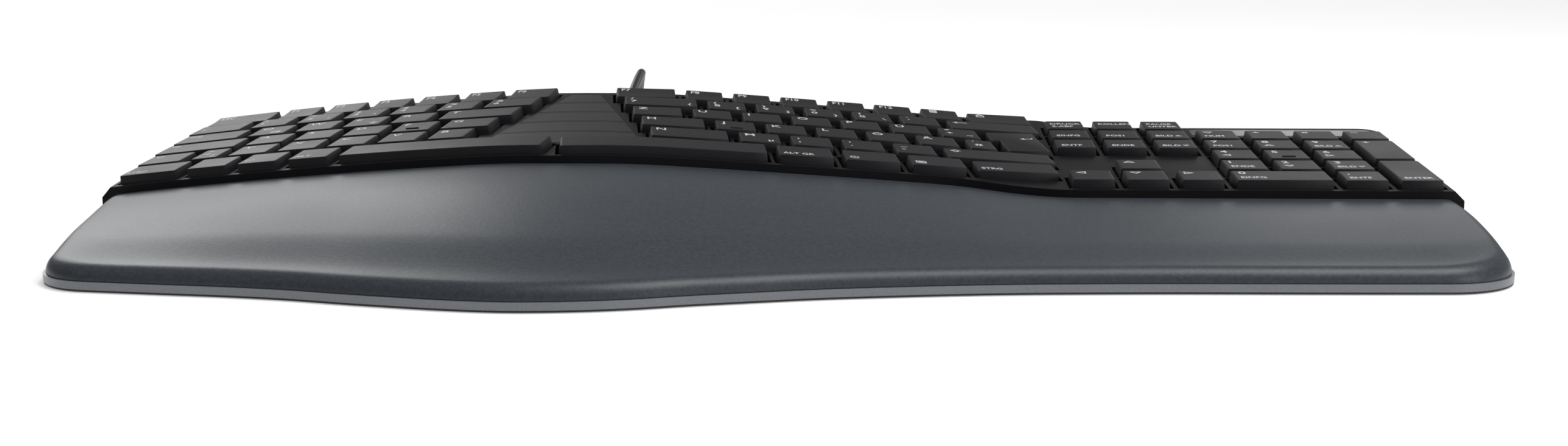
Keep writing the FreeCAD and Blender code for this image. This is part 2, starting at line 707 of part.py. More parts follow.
def deck_screws():
    return [plan_point("pad", 0.4, 2.0), plan_point("pad", 2.6, 2.0)]


def screw_places():
    return panel_screws() + deck_screws()


seat_top = floor_bottom + size("screw_head_height") + size("seat_thickness")
head_top = floor_bottom + size("screw_head_height")


def post(place, radius, bottom, top):
    return Part.makeCylinder(radius, top - bottom, Vector(place.x, place.y, bottom))


def with_bosses(shape, places, drop):
    """The shape with a bored screw boss at each place, from the case up to drop."""
    room = crown_block(drop)
    bosses = [post(p, size("boss_radius"), seat_top, sky).common(room) for p in places]
    reach = head_top + size("screw_length") + 1
    bores = [post(p, size("screw_radius") + size("screw_clearance"), 0, reach) for p in places]
    return shape.fuse(bosses).cut(bores)


# Centre panel between the two blocks.
panel_under = deck_under + size("panel_clearance")
flange_under = panel_under + size("panel_flange")


def panel_face(grow=0.0):
    side, front = size("panel_margin") - grow, size("panel_margin") - grow
    points = [plan_point("left", 0.0, 1) + Vector(side, front, 0),
              (plan_point("left", 1.6, 1) + plan_point("right", -2.3, 1)) * 0.5 + Vector(0, front, 0),
              plan_point("right", -0.6, 1) + Vector(-side, front, 0),
              plan_point("right", -1.35, row_count) + Vector(-side, -front, 0),
              plan_point("left", 0.6, row_count) + Vector(side, -front, 0)]
    return Part.Face(Part.makePolygon(points + points[:1]))


def build_centre_panel():
    top = deck_drop - size("panel_proud")
    panel = layer(panel_face(), top, panel_under)
    panel = panel.fuse(layer(panel_face(size("panel_flange")), panel_under, flange_under))
    lines = []
    for row in range(2, row_count + 1):
        y = plan_point("left", 0, row).y - size("panel_margin")
        for way in (-0.5, 0.5):
            line = Part.makePlane(160, size("groove_width"),
                                  Vector(-80, y + way * size("groove_spacing"), 0))
            lines.append(layer(line, -5, top + size("groove_depth")))
    add_node("centre_panel", with_bosses(panel.cut(lines), panel_screws(), panel_under + 0.5))


# Indicator window behind the number pad, with light guides down to the board.
def window_place():
    at = plan_point("pad", 5, row_count - 0.5)
    at.z = key_top(at.x, at.y) - deck_drop
    return Placement(at, Rotation(Vector(1, 0, 0), size("field_slope")))


def window_block(grow, bottom, top):
    long, deep = size("window_length") / 2 + grow, size("window_depth") / 2 + grow
    points = [Vector(-long, -deep, 0), Vector(long, -deep, 0), Vector(long, deep, 0),
              Vector(-long, deep, 0)]
    block = prism(rounded_face(points, [size("window_corner") + grow] * 4), bottom, top)
    block.Placement = window_place()
    return block


board_bottom = floor_top + size("board_lift")
board_top = board_bottom + size("board_thickness")
light_places = [-1.0, 0.0, 1.0]


def build_indicator_panel():
    thick, rim = size("deck_thickness") + size("window_clearance"), size("window_flange")
    panel = window_block(0, -thick, 0).fuse(window_block(rim, -thick - rim, -thick))
    middle = window_place().Base
    guides = [post(middle + Vector(n * size("light_spacing"), 0, 0), size("light_radius"),
                   board_top + size("light_gap"), middle.z - thick - rim / 2) for n in light_places]
    add_node("indicator_panel", panel.fuse(guides))


def build_board():
    """Controller board on four pegs of the case, with its parts on top."""
    board = doc.addObject("Part::Box", "board_plate")
    board.setExpression("Length", "sizes.board_length")
    board.setExpression("Width", "sizes.board_depth")
    board.setExpression("Height", "sizes.board_thickness")
    chip = doc.addObject("Part::Box", "board_chip")
    for field, alias in (("Length", "chip_length"), ("Width", "chip_width"), ("Height", "chip_height")):
        chip.setExpression(field, "sizes." + alias)
    middle = window_place().Base
    corner = Vector(middle.x - size("board_length") / 2, middle.y - size("board_depth") / 2, board_bottom)
    corner += to_middle.Base
    board.Placement.Base = corner
    beside = (size("board_length") + size("light_spacing") - size("chip_length")) / 2
    chip.Placement.Base = corner + Vector(beside, size("board_depth") / 2 - size("chip_width") / 2,
                                          size("board_thickness"))
    whole = doc.addObject("Part::Fuse", "controller_board")
    whole.Base, whole.Tool = board, chip
    nodes["controller_board"] = whole


def layer_face():
    """Plan of the guide plate, membrane and steel plate, cut back at the window."""
    edge = size("frame_wall") + size("case_seam") + size("case_tongue") + size("boss_clearance")
    face = inset(frame_face, edge)
    corner = plan_point("pad", 3, 5)
    notch = Part.makePlane(200, 100, corner + Vector(-1, 1, 0))
    wide = size("relief_flange") + size("boss_clearance")
    deep = relief_inside + size("relief_flange_thickness") + size("boss_clearance")
    relief = Part.makePlane(2 * wide, 2 * deep, relief_at - Vector(wide, deep, relief_at.z))
    return face.cut([notch, relief]).Faces[0]


def build_layers():
    face = layer_face()
    hole = size("boss_radius") + size("boss_clearance")
    sleeves = []
    for places, under in ((panel_screws(), flange_under), (deck_screws(), deck_under)):
        for place in places:
            middle = Vector(place.x, place.y, 0)
            ring = Part.Face(Part.Wire(Part.makeCircle(hole + size("guide_sleeve"), middle)))
            sleeves.append(layer(ring, under + size("layer_gap"), guide_top + 0.1))
    bores = [post(place, hole, -5, sky) for place in screw_places()]
    guide = layer(face, guide_top, guide_under).fuse(sleeves).cut(bores + guide_holes() + key_seats())
    add_node("key_guide_plate", guide)
    add_node("membrane_sheet", layer(face, membrane_top, membrane_under).cut(bores))
    add_node("support_plate", layer(face, plate_top, plate_under).cut(bores))


def rear_wall(x):
    return span(frame_face, x)[1]


relief_at = Vector(size("cord_exit_x"), rear_wall(size("cord_exit_x")), size("relief_height"))
relief_outside = 2 * size("relief_clearance")
relief_inside = size("frame_wall") + 2 * size("relief_clearance")


def rim_edges(solid, drop, margin):
    """Edges of a frame block along its sides and back, drop below the key tops."""
    edges = []
    for edge in solid.Edges:
        box = edge.BoundBox
        middle = edge.valueAt((edge.FirstParameter + edge.LastParameter) / 2)
        on_top = abs(key_top(middle.x, middle.y) - drop - middle.z) < 0.05
        at_side = box.XMax < left_edge + margin + 0.01 or box.XMin > right_edge - margin - 0.01
        if on_top and (at_side or box.YMin > plan_point("pad", 0, 5).y) and box.DiagonalLength > 0.01:
            edges.append(edge)
    return edges


def build_frame():
    wall = size("frame_wall")
    outer = prism(frame_face, size("frame_bottom"), sky).common(crown_block(deck_drop))
    outer = outer.makeChamfer(size("frame_bevel"), rim_edges(outer, deck_drop, 0))
    hollow = prism(inset(frame_face, wall), -1, sky).common(crown_block(deck_under))
    hollow = hollow.makeChamfer(size("frame_inner_bevel"), rim_edges(hollow, deck_under, wall))
    frame = with_bosses(outer.cut(hollow), deck_screws(), deck_under - 0.5)
    cuts = key_wells()
    cuts.append(window_block(size("window_clearance"), -2 * deck_under, 2 * deck_under))
    cuts.append(prism(panel_face(size("panel_clearance")), deck_drop, sky))
    neck = size("relief_neck") + size("relief_clearance") / 2
    cuts.append(Part.makeCylinder(neck, 6 * wall, relief_at - Vector(0, 3 * wall, 0), Vector(0, 1, 0)))
    add_node("top_frame", frame.cut(cuts))


# Flip-out feet at the back, each on two pins in its pocket.
foot_half = size("foot_thickness") / 2
pivot_z = floor_bottom + size("foot_lift") + foot_half
pivot_y = rear_wall(right_edge - 40) - size("foot_inset")
frame_middle = (left_edge + right_edge) / 2
foot_places = [("tilt_foot_left", frame_middle - size("foot_x")),
               ("tilt_foot_right", frame_middle + size("foot_x"))]


def foot_pocket(x, grow, bottom):
    """Block round a folded foot, larger by grow on each side."""
    gap = size("foot_clearance") + grow
    wide, long = size("foot_width") / 2 + gap, size("foot_length") - foot_half + gap
    top = pivot_z + foot_half + gap
    return Part.makeBox(2 * wide, long + foot_half + gap, top - bottom,
                        Vector(x - wide, pivot_y - long, bottom))


def build_foot(name, x):
    """Folded foot: a bar with a round pivot end and a pin at each side."""
    body = doc.addObject("PartDesign::Body", name)
    plane = [o for o in body.Origin.OriginFeatures if o.Role == "YZ_Plane"][0]
    side = body.newObject("Sketcher::SketchObject", name + "_side")
    side.AttachmentSupport = (plane, "")
    side.MapMode = "FlatFace"
    far = foot_half - size("foot_length")
    top, low = Vector(0, foot_half, 0), Vector(0, -foot_half, 0)
    far_top, far_low = Vector(far, foot_half, 0), Vector(far, -foot_half, 0)
    side.addGeometry(Part.LineSegment(top, far_top))
    side.addGeometry(Part.LineSegment(far_top, far_low))
    side.addGeometry(Part.LineSegment(far_low, low))
    side.addGeometry(Part.Arc(low, Vector(foot_half, 0, 0), top))
    pad = body.newObject("PartDesign::Pad", name + "_bar")
    pad.Profile = side
    pad.setExpression("Length", "sizes.foot_width")
    pad.Midplane = True
    round_pin = body.newObject("Sketcher::SketchObject", name + "_pin")
    round_pin.AttachmentSupport = (plane, "")
    round_pin.MapMode = "FlatFace"
    round_pin.addGeometry(Part.Circle(Vector(0, 0, 0), Vector(0, 0, 1), size("foot_pin_radius")))
    pin = body.newObject("PartDesign::Pad", name + "_pins")
    pin.Profile = round_pin
    pin.setExpression("Length", "sizes.foot_width + 2 * sizes.foot_pin_length + 2 * sizes.foot_clearance")
    pin.Midplane = True
    body.Placement = Placement(to_middle.Base + Vector(x, pivot_y, pivot_z), Rotation())
    nodes[name] = body


def case_ribs():
    """Ribs that carry the steel plate, clear of feet, board and screws."""
    face = layer_face()
    box = face.BoundBox
    half = size("rib_thickness") / 2
    spacing = size("rib_spacing")
    bars = []
    for n in range(int(box.XLength / spacing)):
        x = box.XMin + spacing * (n + 0.5)
        bars.append(Part.makeBox(2 * half, box.YLength, sky, Vector(x - half, box.YMin, floor_top - 0.5)))
    for v in (1.0, 4.0):
        y = plan_point("left", 0, v).y + pitch / 2
        bars.append(Part.makeBox(box.XLength, 2 * half, sky, Vector(box.XMin, y - half, floor_top - 0.5)))
    ribs = bars[0].fuse(bars[1:]).common(prism(face, floor_top - 0.5, sky)).common(crown_block(rib_top))
    away = [foot_pocket(x, size("pocket_wall") / 2, 0) for _, x in foot_places]
    return ribs.cut(away)


def build_case():
    wall, seam = size("frame_wall"), size("case_seam")
    rim_top = size("frame_bottom") - seam
    inner = inset(frame_face, wall)
    tongue = inset(frame_face, wall + seam)
    tongue_in = inset(frame_face, wall + seam + size("case_tongue"))
    case = prism(frame_face, floor_bottom, rim_top).cut(prism(inner, floor_top, sky))
    lip = prism(tongue, floor_top - 0.5, size("frame_bottom") + size("tongue_reach"))
    lip = lip.cut(prism(tongue_in, 0, sky))
    bridge = prism(frame_face, floor_top - 0.5, rim_top).cut(prism(tongue_in, 0, sky))
    case = case.fuse([lip, bridge, case_ribs()])
    pockets = [foot_pocket(x, size("pocket_wall"), floor_bottom) for _, x in foot_places]
    seats = [post(p, size("screw_head_radius") + size("seat_wall"), floor_bottom,
                  seat_top - size("layer_gap")) for p in screw_places()]
    middle = window_place().Base
    pegs = []
    for a in (-1, 1):
        for b in (-1, 1):
            at = middle + Vector(a * (size("board_length") / 2 - 4), b * (size("board_depth") / 2 - 2.5), 0)
            pegs.append(post(at, size("peg_radius"), floor_top - 0.5, board_bottom))
    case = case.fuse(pockets + seats + pegs)
    cuts = [foot_pocket(x, 0, -1) for _, x in foot_places]
    hole = size("foot_pin_radius") + size("foot_pin_clearance")
    long = size("foot_width") + 2 * size("foot_pin_length") + 4 * size("foot_clearance")
    for _, x in foot_places:
        cuts.append(Part.makeCylinder(hole, long, Vector(x - long / 2, pivot_y, pivot_z), Vector(1, 0, 0)))
    clear = size("screw_clearance")
    for p in screw_places():
        cuts.append(post(p, size("screw_head_radius") + clear, 0, head_top))
        cuts.append(post(p, size("screw_radius") + clear, 0, seat_top + 1))
    add_node("bottom_case", case.cut(cuts))


def build_screws():
    """Countersunk from below: pan heads with a cross recess."""
    screws = []
    head, tall = size("screw_head_radius"), size("screw_head_height")
    for p in screw_places():
        screw = post(p, head, floor_bottom, head_top)
        screw = screw.fuse(post(p, size("screw_radius"), head_top - 0.1, head_top + size("screw_length")))
        for a, b in ((head * 1.1, 0.6), (0.6, head * 1.1)):
            slot = Part.makeBox(a, b, tall / 2, Vector(p.x - a / 2, p.y - b / 2, floor_bottom))
            screw = screw.cut(slot)
        screws.append(screw)
    add_node("case_screws", Part.makeCompound(screws))


# Palm rest: black base plate, silver strip round its edge and the soft cushion.
strip, strip_gap = size("trim_width"), size("trim_clearance")
trim_top = size("trim_bottom") + size("trim_height")
cushion_foot = size("palm_plate_top") + strip_gap


def palm_part(distance):
    """The palm rest's outline, drawn in and cut back to the frame."""
    return inset(palm_face, distance).cut(grown_face).Faces[0]


def build_palm_base():
    skirt_top = size("trim_bottom") - 0.05
    skirt = prism(palm_part(size("skirt_inset")), floor_bottom, skirt_top)
    plate = prism(palm_part(strip + strip_gap), skirt_top, size("palm_plate_top"))
    add_node("palm_rest_base", skirt.fuse(plate))


def build_trim():
    ring = palm_face.cut(inset(palm_face, strip)).cut(grown_face).Faces[0]
    add_node("palm_rest_trim", prism(ring, size("trim_bottom"), trim_top))


# Share of the cushion's height at shares of its depth, from the front to the back.
cushion_profile = [(0.0, 0.0), (0.1, 0.22), (0.29, 0.56), (0.64, 0.91), (1.0, 1.0)]
cushion_ends = [0.2, 0.8, 2.0, 4.0, 8.0, 12.0, 17.0, 24.0, 34.0]
cushion_middle = [-112.0, -88.0, -65.0, -40.0, -15.0, 3.0, 28.0, 58.0, 92.0, 126.0, 145.0, 160.0,
                  175.0, 192.0, 220.0, 248.0]


def cushion_section(x):
    """Closed section of the cushion across X, made of lines and arcs."""
    fall = size("cushion_fall")
    edge = min(x - left_edge, right_edge - x, fall)
    share = math.sqrt(1 - ((fall - edge) / fall) ** 2)
    front = span(palm_face, x)[0]
    back = span(frame_face, x)[0]
    low = trim_top + strip_gap + size("cushion_nose") * share
    high = trim_top + (key_top(x, back) - deck_drop - size("cushion_below_lip") - trim_top) * share
    curve = [Vector(x, front + (back - front) * a, low + (high - low) * b) for a, b in cushion_profile]
    behind = Vector(x, back + 4, high)
    low_front, low_back = Vector(x, front, cushion_foot), Vector(x, back + 4, cushion_foot)
    edges = [Part.LineSegment(low_front, curve[0]).toShape(), Part.Arc(*curve[:3]).toShape(),
             Part.Arc(*curve[2:]).toShape(), Part.LineSegment(curve[4], behind).toShape(),
             Part.LineSegment(behind, low_back).toShape(), Part.LineSegment(low_back, low_front).toShape()]
    return Part.Wire(edges)


def build_cushion():
    stations = [left_edge + d for d in cushion_ends] + cushion_middle
    stations += [right_edge - d for d in reversed(cushion_ends)]
    whole = Part.makeLoft([cushion_section(x) for x in stations], True, True)
    above = prism(inset(palm_face, strip_gap * 2), trim_top + strip_gap, sky)
    below = prism(inset(palm_face, strip + 2 * strip_gap), cushion_foot, sky)
    cushion = whole.common(above.fuse(below)).cut(prism(grown_face, -1, sky))
    add_node("palm_rest_cushion", cushion)


def build_feet():
    """Flat rubber pads under the case and palm rest."""
    radius, edge = size("pad_radius"), size("pad_inset")
    back = pivot_y + foot_half + 2
    places = [Vector(left_edge + edge, palm_front[0][1] + edge, 0),
              Vector(right_edge - edge, palm_front[-1][1] + edge, 0),
              Vector(palm_front[palm_tip][0], palm_front[palm_tip][1] + edge, 0),
              Vector(left_edge + edge / 2, back, 0), Vector(right_edge - edge / 2, back - edge / 2, 0)]
    pads = []
    for n, place in enumerate(places):
        pad = doc.addObject("Part::Cylinder", f"rubber_foot_{n}")
        pad.setExpression("Radius", "sizes.pad_radius")
        pad.setExpression("Height", "sizes.case_bottom")
        pad.Placement.Base = place + to_middle.Base
        pads.append(pad)
    whole = doc.addObject("Part::Compound", "rubber_feet")
    whole.Links = pads
    nodes["rubber_feet"] = whole


# Cord: strain relief, free stretch, tied coil and plug.
cord_radius = size("cord_diameter") / 2


def build_relief():
    flange = size("relief_flange_thickness")
    inside = relief_at.y - relief_inside
    reach = flange + relief_inside + relief_outside
    pieces = []
    for label, at, height in (("relief_flange", inside - flange, flange),
                              ("relief_neck", inside - flange / 2, reach)):
        cylinder = doc.addObject("Part::Cylinder", label + "_body")
        cylinder.setExpression("Radius", "sizes." + label)
        cylinder.Height = height
        cylinder.Placement = Placement(Vector(relief_at.x, at, relief_at.z) + to_middle.Base,
                                       Rotation(Vector(1, 0, 0), -90))
        pieces.append(cylinder)
    boot = doc.addObject("Part::Cone", "relief_boot")
    boot.setExpression("Radius1", "sizes.relief_radius")
    boot.setExpression("Radius2", "sizes.relief_end_radius")
    boot.setExpression("Height", "sizes.relief_length")
    boot.Placement = Placement(relief_at + Vector(0, relief_outside, 0) + to_middle.Base,
                               Rotation(Vector(1, 0, 0), -90))
    whole = doc.addObject("Part::MultiFuse", "cable_strain_relief")
    whole.Shapes = pieces + [boot]
    nodes["cable_strain_relief"] = whole


coil_pitch = size("cord_diameter") + size("coil_gap")
coil_middle = Vector(size("coil_x"), size("coil_y"), 0)
coil_base = size("plug_height") / 2 + 0.1
layers = int(size("coil_layers"))
layer_turns = size("coil_turns")
climb_turns = 0.5
coil_length = layers * layer_turns + (layers - 1) * climb_turns


def coil_point(turn):
    """Middle of the cord so many turns from where it enters the coil's top layer."""
    period = layer_turns + climb_turns
    done = min(int(turn / period + 1e-9), layers - 1)
    here = turn - done * period
    way = 1 if done % 2 == 0 else -1
    outer = size("coil_radius") + layer_turns * coil_pitch
    start = outer if way == 1 else size("coil_radius")
    height = coil_base + (layers - 1 - done) * coil_pitch
    if here <= layer_turns:
        radius = start - way * coil_pitch * here
    else:
        climb = here - layer_turns
        end = start - way * coil_pitch * layer_turns
        radius = end - way * coil_pitch * climb * (1 - climb / climb_turns)
        share = climb / climb_turns
        height -= coil_pitch * share * share * (3 - 2 * share)
    angle = -2 * math.pi * turn
    return coil_middle + Vector(radius * math.cos(angle), radius * math.sin(angle), height)


def coil_way(turn):
    step = 0.0005
    return (coil_point(turn + step) - coil_point(turn - step)).normalize()


def tube(edges, start, way):
    """A round cord along edges that start at a point in a direction."""
    section = Part.Wire(Part.makeCircle(cord_radius, start, way))
    path = Part.Wire(edges)
    pipe = path.makePipeShell([section], True, False)
    solid = Part.Solid(pipe) if pipe.ShapeType == "Shell" else pipe
    share = solid.Volume / (math.pi * cord_radius ** 2 * path.Length)
    print(f"cord piece: length {path.Length:.1f} mm, volume over section x length {share:.4f}")
    return solid


def build_coil():
    """The wound part of the cord with a straight lead at both ends."""
    quarters = int(round(coil_length * 4))
    start, way = coil_point(0), coil_way(0.001)
    lead = start - way * size("cord_diameter")
    edges = [Part.LineSegment(lead, start).toShape()]
    ways = [way] + [coil_way(n / 4) for n in range(1, quarters)] + [Vector(0, 1, 0)]
    for n in range(quarters):
        edges += biarc(coil_point(n / 4), ways[n], coil_point((n + 1) / 4), ways[n + 1])
    end = coil_point(quarters / 4)
    tail = end + Vector(0, size("tail_length"), 0)
    edges.append(Part.LineSegment(end, tail).toShape())
    points = []
    for edge in edges:
        points += edge.discretize(max(4, int(edge.Length / 2)))
    nearest = 1000.0
    for n, a in enumerate(points):
        for b in points[n + 12:]:
            apart = (a - b).Length
            if apart < nearest and apart > 0:
                nearest = apart
    print(f"coil: least gap to itself {nearest - 2 * cord_radius:.2f} mm")
    add_node("cord_coil", tube(edges, lead, way))
    return lead, way, tail


def build_cord(coil_lead, coil_start_way):
    """The free stretch: straight runs joined by tangent arcs."""
    begin = relief_at + Vector(0, relief_outside + size("relief_length"), 0)
    points = [begin, begin + Vector(0, 20, 0), begin + Vector(0.4, 43, 4.6), begin + Vector(0.9, 64, 7.6),
              begin + Vector(-1.5, 86, 3.5), begin + Vector(-4.5, 106, -7.5), begin + Vector(-6.5, 126, -20.0),
              begin + Vector(-5, 148, -29.0), begin + Vector(6, 170, -30.5), begin + Vector(30, 182, -30.5),
              begin + Vector(62, 176, -30.5), begin + Vector(90, 155, -30.5), begin + Vector(105, 128, -29.0),
              begin + Vector(107, 104, -22.0)]
    points += [coil_lead - coil_start_way * 38, coil_lead]
    edges, radii = [], []
    at = points[0]
    for before, corner, after in zip(points, points[1:], points[2:]):
        shorter = min((corner - before).Length, (after - corner).Length)
        arc, start, end, radius = corner_arc(before, corner, after, 0.45 * shorter)
        edges += [Part.LineSegment(at, start).toShape(), arc]
        radii.append(round(radius, 1))
        at = end
    edges.append(Part.LineSegment(at, points[-1]).toShape())
    print("cord: arc radii", radii, "runs",
          [round((b - a).Length, 1) for a, b in zip(points, points[1:])])
    add_node("cord", tube(edges, points[0], Vector(0, 1, 0)))


def build_tie():
    """Strap round the coil on the side away from the plug."""
    gap, thick, wide = size("tie_clearance"), size("tie_thickness"), size("tie_width")
    swing = coil_pitch / 8
    near = size("coil_radius") - swing - cord_radius - gap
    far = size("coil_radius") + layer_turns * coil_pitch + swing + cord_radius + gap
    low = coil_base - cord_radius - gap
    high = coil_base + (layers - 1) * coil_pitch + cord_radius + gap

    def ring(grow):
        corners = [Vector(0, near - grow, low - grow), Vector(0, far + grow, low - grow),
                   Vector(0, far + grow, high + grow), Vector(0, near - grow, high + grow)]
        solid = Part.Face(Part.makePolygon(corners + corners[:1])).extrude(Vector(wide, 0, 0))
        long = [e for e in solid.Edges if abs(e.BoundBox.XLength - wide) < 0.01
                and e.BoundBox.YLength < 0.01 and e.BoundBox.ZLength < 0.01]
        return solid.makeFillet(2.0 + grow, long)

    strap = ring(thick).cut(ring(0))
    strap.translate(coil_middle - Vector(wide / 2, 0, 0))
    add_node("coil_tie", strap)


def build_plug(tail):
    """Plug grip with rounded edges and its metal shell with a tongue inside."""
    wide, tall, long = size("plug_width"), size("plug_height"), size("plug_length")
    grip = Part.makeBox(wide, long, tall, Vector(-wide / 2, 0, -tall / 2))
    rims = [e for e in grip.Edges if e.BoundBox.YLength > long / 2]
    grip = grip.makeFillet(size("plug_round"), rims)
    grip.Placement = Placement(tail, Rotation())
    add_node("plug_grip", grip)
    width, height, thin = size("shell_width"), size("shell_height"), size("shell_wall")
    reach = size("shell_length")
    shell = Part.makeBox(width, reach, height, Vector(-width / 2, 0, -height / 2))
    room = Part.makeBox(width - 2 * thin, reach, height - 2 * thin,
                        Vector(-width / 2 + thin, thin, -height / 2 + thin))
    tongue = Part.makeBox(width - 2 * thin, reach - 0.5, height * 0.4,
                          Vector(-width / 2 + thin, 0, -height / 2 + thin))
    shell = shell.cut(room).fuse(tongue).removeSplitter()
    shell.Placement = Placement(tail + Vector(0, long, 0), Rotation())
    add_node("plug_shell", shell)


build_keys()
build_domes()
build_layers()
build_frame()
build_centre_panel()
build_indicator_panel()
build_board()
build_case()
build_screws()
for foot_name, foot_place in foot_places:
    build_foot(foot_name, foot_place)
build_palm_base()
build_trim()
build_cushion()
build_feet()
build_relief()
coil_lead, coil_start_way, cord_tail = build_coil()
build_cord(coil_lead, coil_start_way)
build_tie()
build_plug(cord_tail)
doc.recompute()

for thing in doc.Objects:
    if "Invalid" in thing.State or "Error" in thing.State:
        raise RuntimeError(f"{thing.Label} failed")
for name, thing in nodes.items():
    if thing.Shape.isNull() or not thing.Shape.isValid():
        raise RuntimeError(f"{name} has no valid shape")
for name, thing in nodes.items():
    thing.Shape.exportStep(f"parts/{name}.step")
print(len(nodes), "sub-parts")
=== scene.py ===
from collections import defaultdict
import math

import bmesh
import bpy
from mathutils import Matrix, Vector
from mathutils.kdtree import KDTree


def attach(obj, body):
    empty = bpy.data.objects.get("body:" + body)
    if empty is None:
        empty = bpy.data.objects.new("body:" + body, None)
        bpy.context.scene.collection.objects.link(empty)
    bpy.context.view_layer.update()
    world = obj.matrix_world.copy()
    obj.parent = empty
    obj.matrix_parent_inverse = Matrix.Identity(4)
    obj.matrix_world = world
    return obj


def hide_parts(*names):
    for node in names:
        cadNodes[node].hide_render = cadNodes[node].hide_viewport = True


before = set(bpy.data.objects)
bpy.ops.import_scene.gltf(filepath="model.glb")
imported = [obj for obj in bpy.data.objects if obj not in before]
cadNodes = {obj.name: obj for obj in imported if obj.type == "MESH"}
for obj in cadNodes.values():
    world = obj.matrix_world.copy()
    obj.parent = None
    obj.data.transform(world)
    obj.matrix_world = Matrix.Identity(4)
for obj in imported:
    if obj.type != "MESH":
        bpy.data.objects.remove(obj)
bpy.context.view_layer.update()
scene = bpy.context.scene
mm = 0.001


def addObject(name, data):
    made = bpy.data.objects.new(name, data)
    scene.collection.objects.link(made)
    return made


# The camera stands at the typist's side, low, a little right of the middle.
cameraSetup = {
    "place": (0.023625, -0.741862, 0.1325), "pitch": 80.3, "yaw": 1.511, "lens": 48.84, "near": 0.01}
cameraData = bpy.data.cameras.new("typistView")
cameraData.lens = cameraSetup["lens"]
cameraData.clip_start = cameraSetup["near"]
camera = addObject("typistView", cameraData)
camera.location = cameraSetup["place"]
camera.rotation_euler = (math.radians(cameraSetup["pitch"]), 0, math.radians(cameraSetup["yaw"]))
scene.camera = camera
scene.view_settings.view_transform = "Standard"
print("camera placed")


def linear(hexColour):
    parts = [int(hexColour[n:n + 2], 16) / 255 for n in (1, 3, 5)]
    curve = [c / 12.92 if c <= 0.04045 else ((c + 0.055) / 1.055) ** 2.4 for c in parts]
    return (*curve, 1.0)


# sockets holds input names or numbers with a value, or with an output to link.
def addNode(tree, kind, sockets=None, **settings):
    node = tree.nodes.new(kind)
    for name, value in settings.items():
        setattr(node, name, value)
    for name, value in (sockets or {}).items():
        socket = node.inputs[name]
        if isinstance(value, bpy.types.NodeSocket):
            tree.links.new(value, socket)
        else:
            socket.default_value = value
    return node


def newMaterial(name):
    material = bpy.data.materials.new(name)
    material.use_nodes = True
    material.node_tree.nodes.clear()
    return material, material.node_tree


# Noise has about one feature per 1 / scale metres.
def scaleOf(millimetres):
    return 1000.0 / millimetres


# What a finish has unless its own entry says otherwise. Grain, cloud and depth are in millimetres.
plainFinish = {
    "cloud": 40.0, "roughSpread": 0.05, "bump": 0.2, "depth": 0.02, "ior": 1.54, "metallic": 0.0,
    "specular": 0.5, "coat": 0.0, "coatRough": 0.2, "sheen": 0.0}
# Most of a noise's values lie between these two.
noiseLow, noiseHigh = 0.3, 0.7


# One moulded surface: a fine grain for shade and bump, a wide cloud for slight changes of gloss.
def mouldedFinish(name, own):
    look = {**plainFinish, **own}
    material, tree = newMaterial(name)
    place = addNode(tree, "ShaderNodeTexCoord").outputs["Object"]
    grain = addNode(tree, "ShaderNodeTexNoise", {
        "Vector": place, "Scale": scaleOf(look["grain"]), "Detail": 2.0, "Roughness": 0.55}).outputs["Fac"]
    cloud = addNode(tree, "ShaderNodeTexNoise", {
        "Vector": place, "Scale": scaleOf(look["cloud"]), "Detail": 3.0}).outputs["Fac"]
    speckle = addNode(tree, "ShaderNodeMapRange", {
        "Value": grain, "From Min": noiseLow, "From Max": noiseHigh})
    # A Mix node's colour inputs are numbers 6 and 7, and its colour output is number 2.
    colour = addNode(tree, "ShaderNodeMix", {
        0: speckle.outputs["Result"], 6: linear(look["dark"]), 7: linear(look["light"])}, data_type="RGBA")
    rough = addNode(tree, "ShaderNodeMapRange", {
        "Value": cloud, "From Min": noiseLow, "From Max": noiseHigh,
        "To Min": look["rough"] - look["roughSpread"], "To Max": look["rough"] + look["roughSpread"]})
    bump = addNode(tree, "ShaderNodeBump", {
        "Height": grain, "Strength": look["bump"], "Distance": look["depth"] * mm}).outputs["Normal"]
    shader = addNode(tree, "ShaderNodeBsdfPrincipled", {
        "Base Color": colour.outputs[2], "Roughness": rough.outputs["Result"], "Normal": bump,
        "IOR": look["ior"], "Metallic": look["metallic"], "Specular IOR Level": look["specular"],
        "Coat Weight": look["coat"], "Coat Roughness": look["coatRough"], "Sheen Weight": look["sheen"]})
    addNode(tree, "ShaderNodeOutputMaterial", {"Surface": shader.outputs["BSDF"]})
    return material


# Spark-eroded ABS of the keycaps: a fine even grain that turns pale at a grazing angle.
# Real grit is about 0.1 mm; it is drawn at 0.35 mm so that it shows.
keycapAbs = mouldedFinish("keycapAbs", {
    "dark": "#171619", "light": "#232226", "grain": 0.35, "cloud": 30.0, "rough": 0.45,
    "roughSpread": 0.03, "bump": 0.5, "depth": 0.03, "specular": 0.24})
# Eroded ABS of the top frame, a shade darker and finer than the keys.
frameAbs = mouldedFinish("frameAbs", {
    "dark": "#121114", "light": "#19181b", "grain": 0.3, "rough": 0.52,
    "roughSpread": 0.04, "bump": 0.35, "specular": 0.12})
# Satin ABS of the centre panel between the two blocks.
panelAbs = mouldedFinish("panelAbs", {
    "dark": "#1d1c1f", "light": "#262528", "grain": 0.3, "rough": 0.36,
    "roughSpread": 0.04, "bump": 0.35, "specular": 0.3})
# Coarser texture of the case underneath, which hides scuffs.
caseAbs = mouldedFinish("caseAbs", {
    "dark": "#151517", "light": "#1f1f21", "grain": 0.6, "cloud": 60.0, "rough": 0.6,
    "bump": 0.6, "depth": 0.05})
# Smoked polycarbonate of the indicator window: smooth and glossy.
windowPc = mouldedFinish("windowPc", {
    "dark": "#1b1b1e", "light": "#202024", "grain": 0.5, "cloud": 30.0, "rough": 0.2,
    "roughSpread": 0.03, "bump": 0.08, "depth": 0.01, "ior": 1.585})
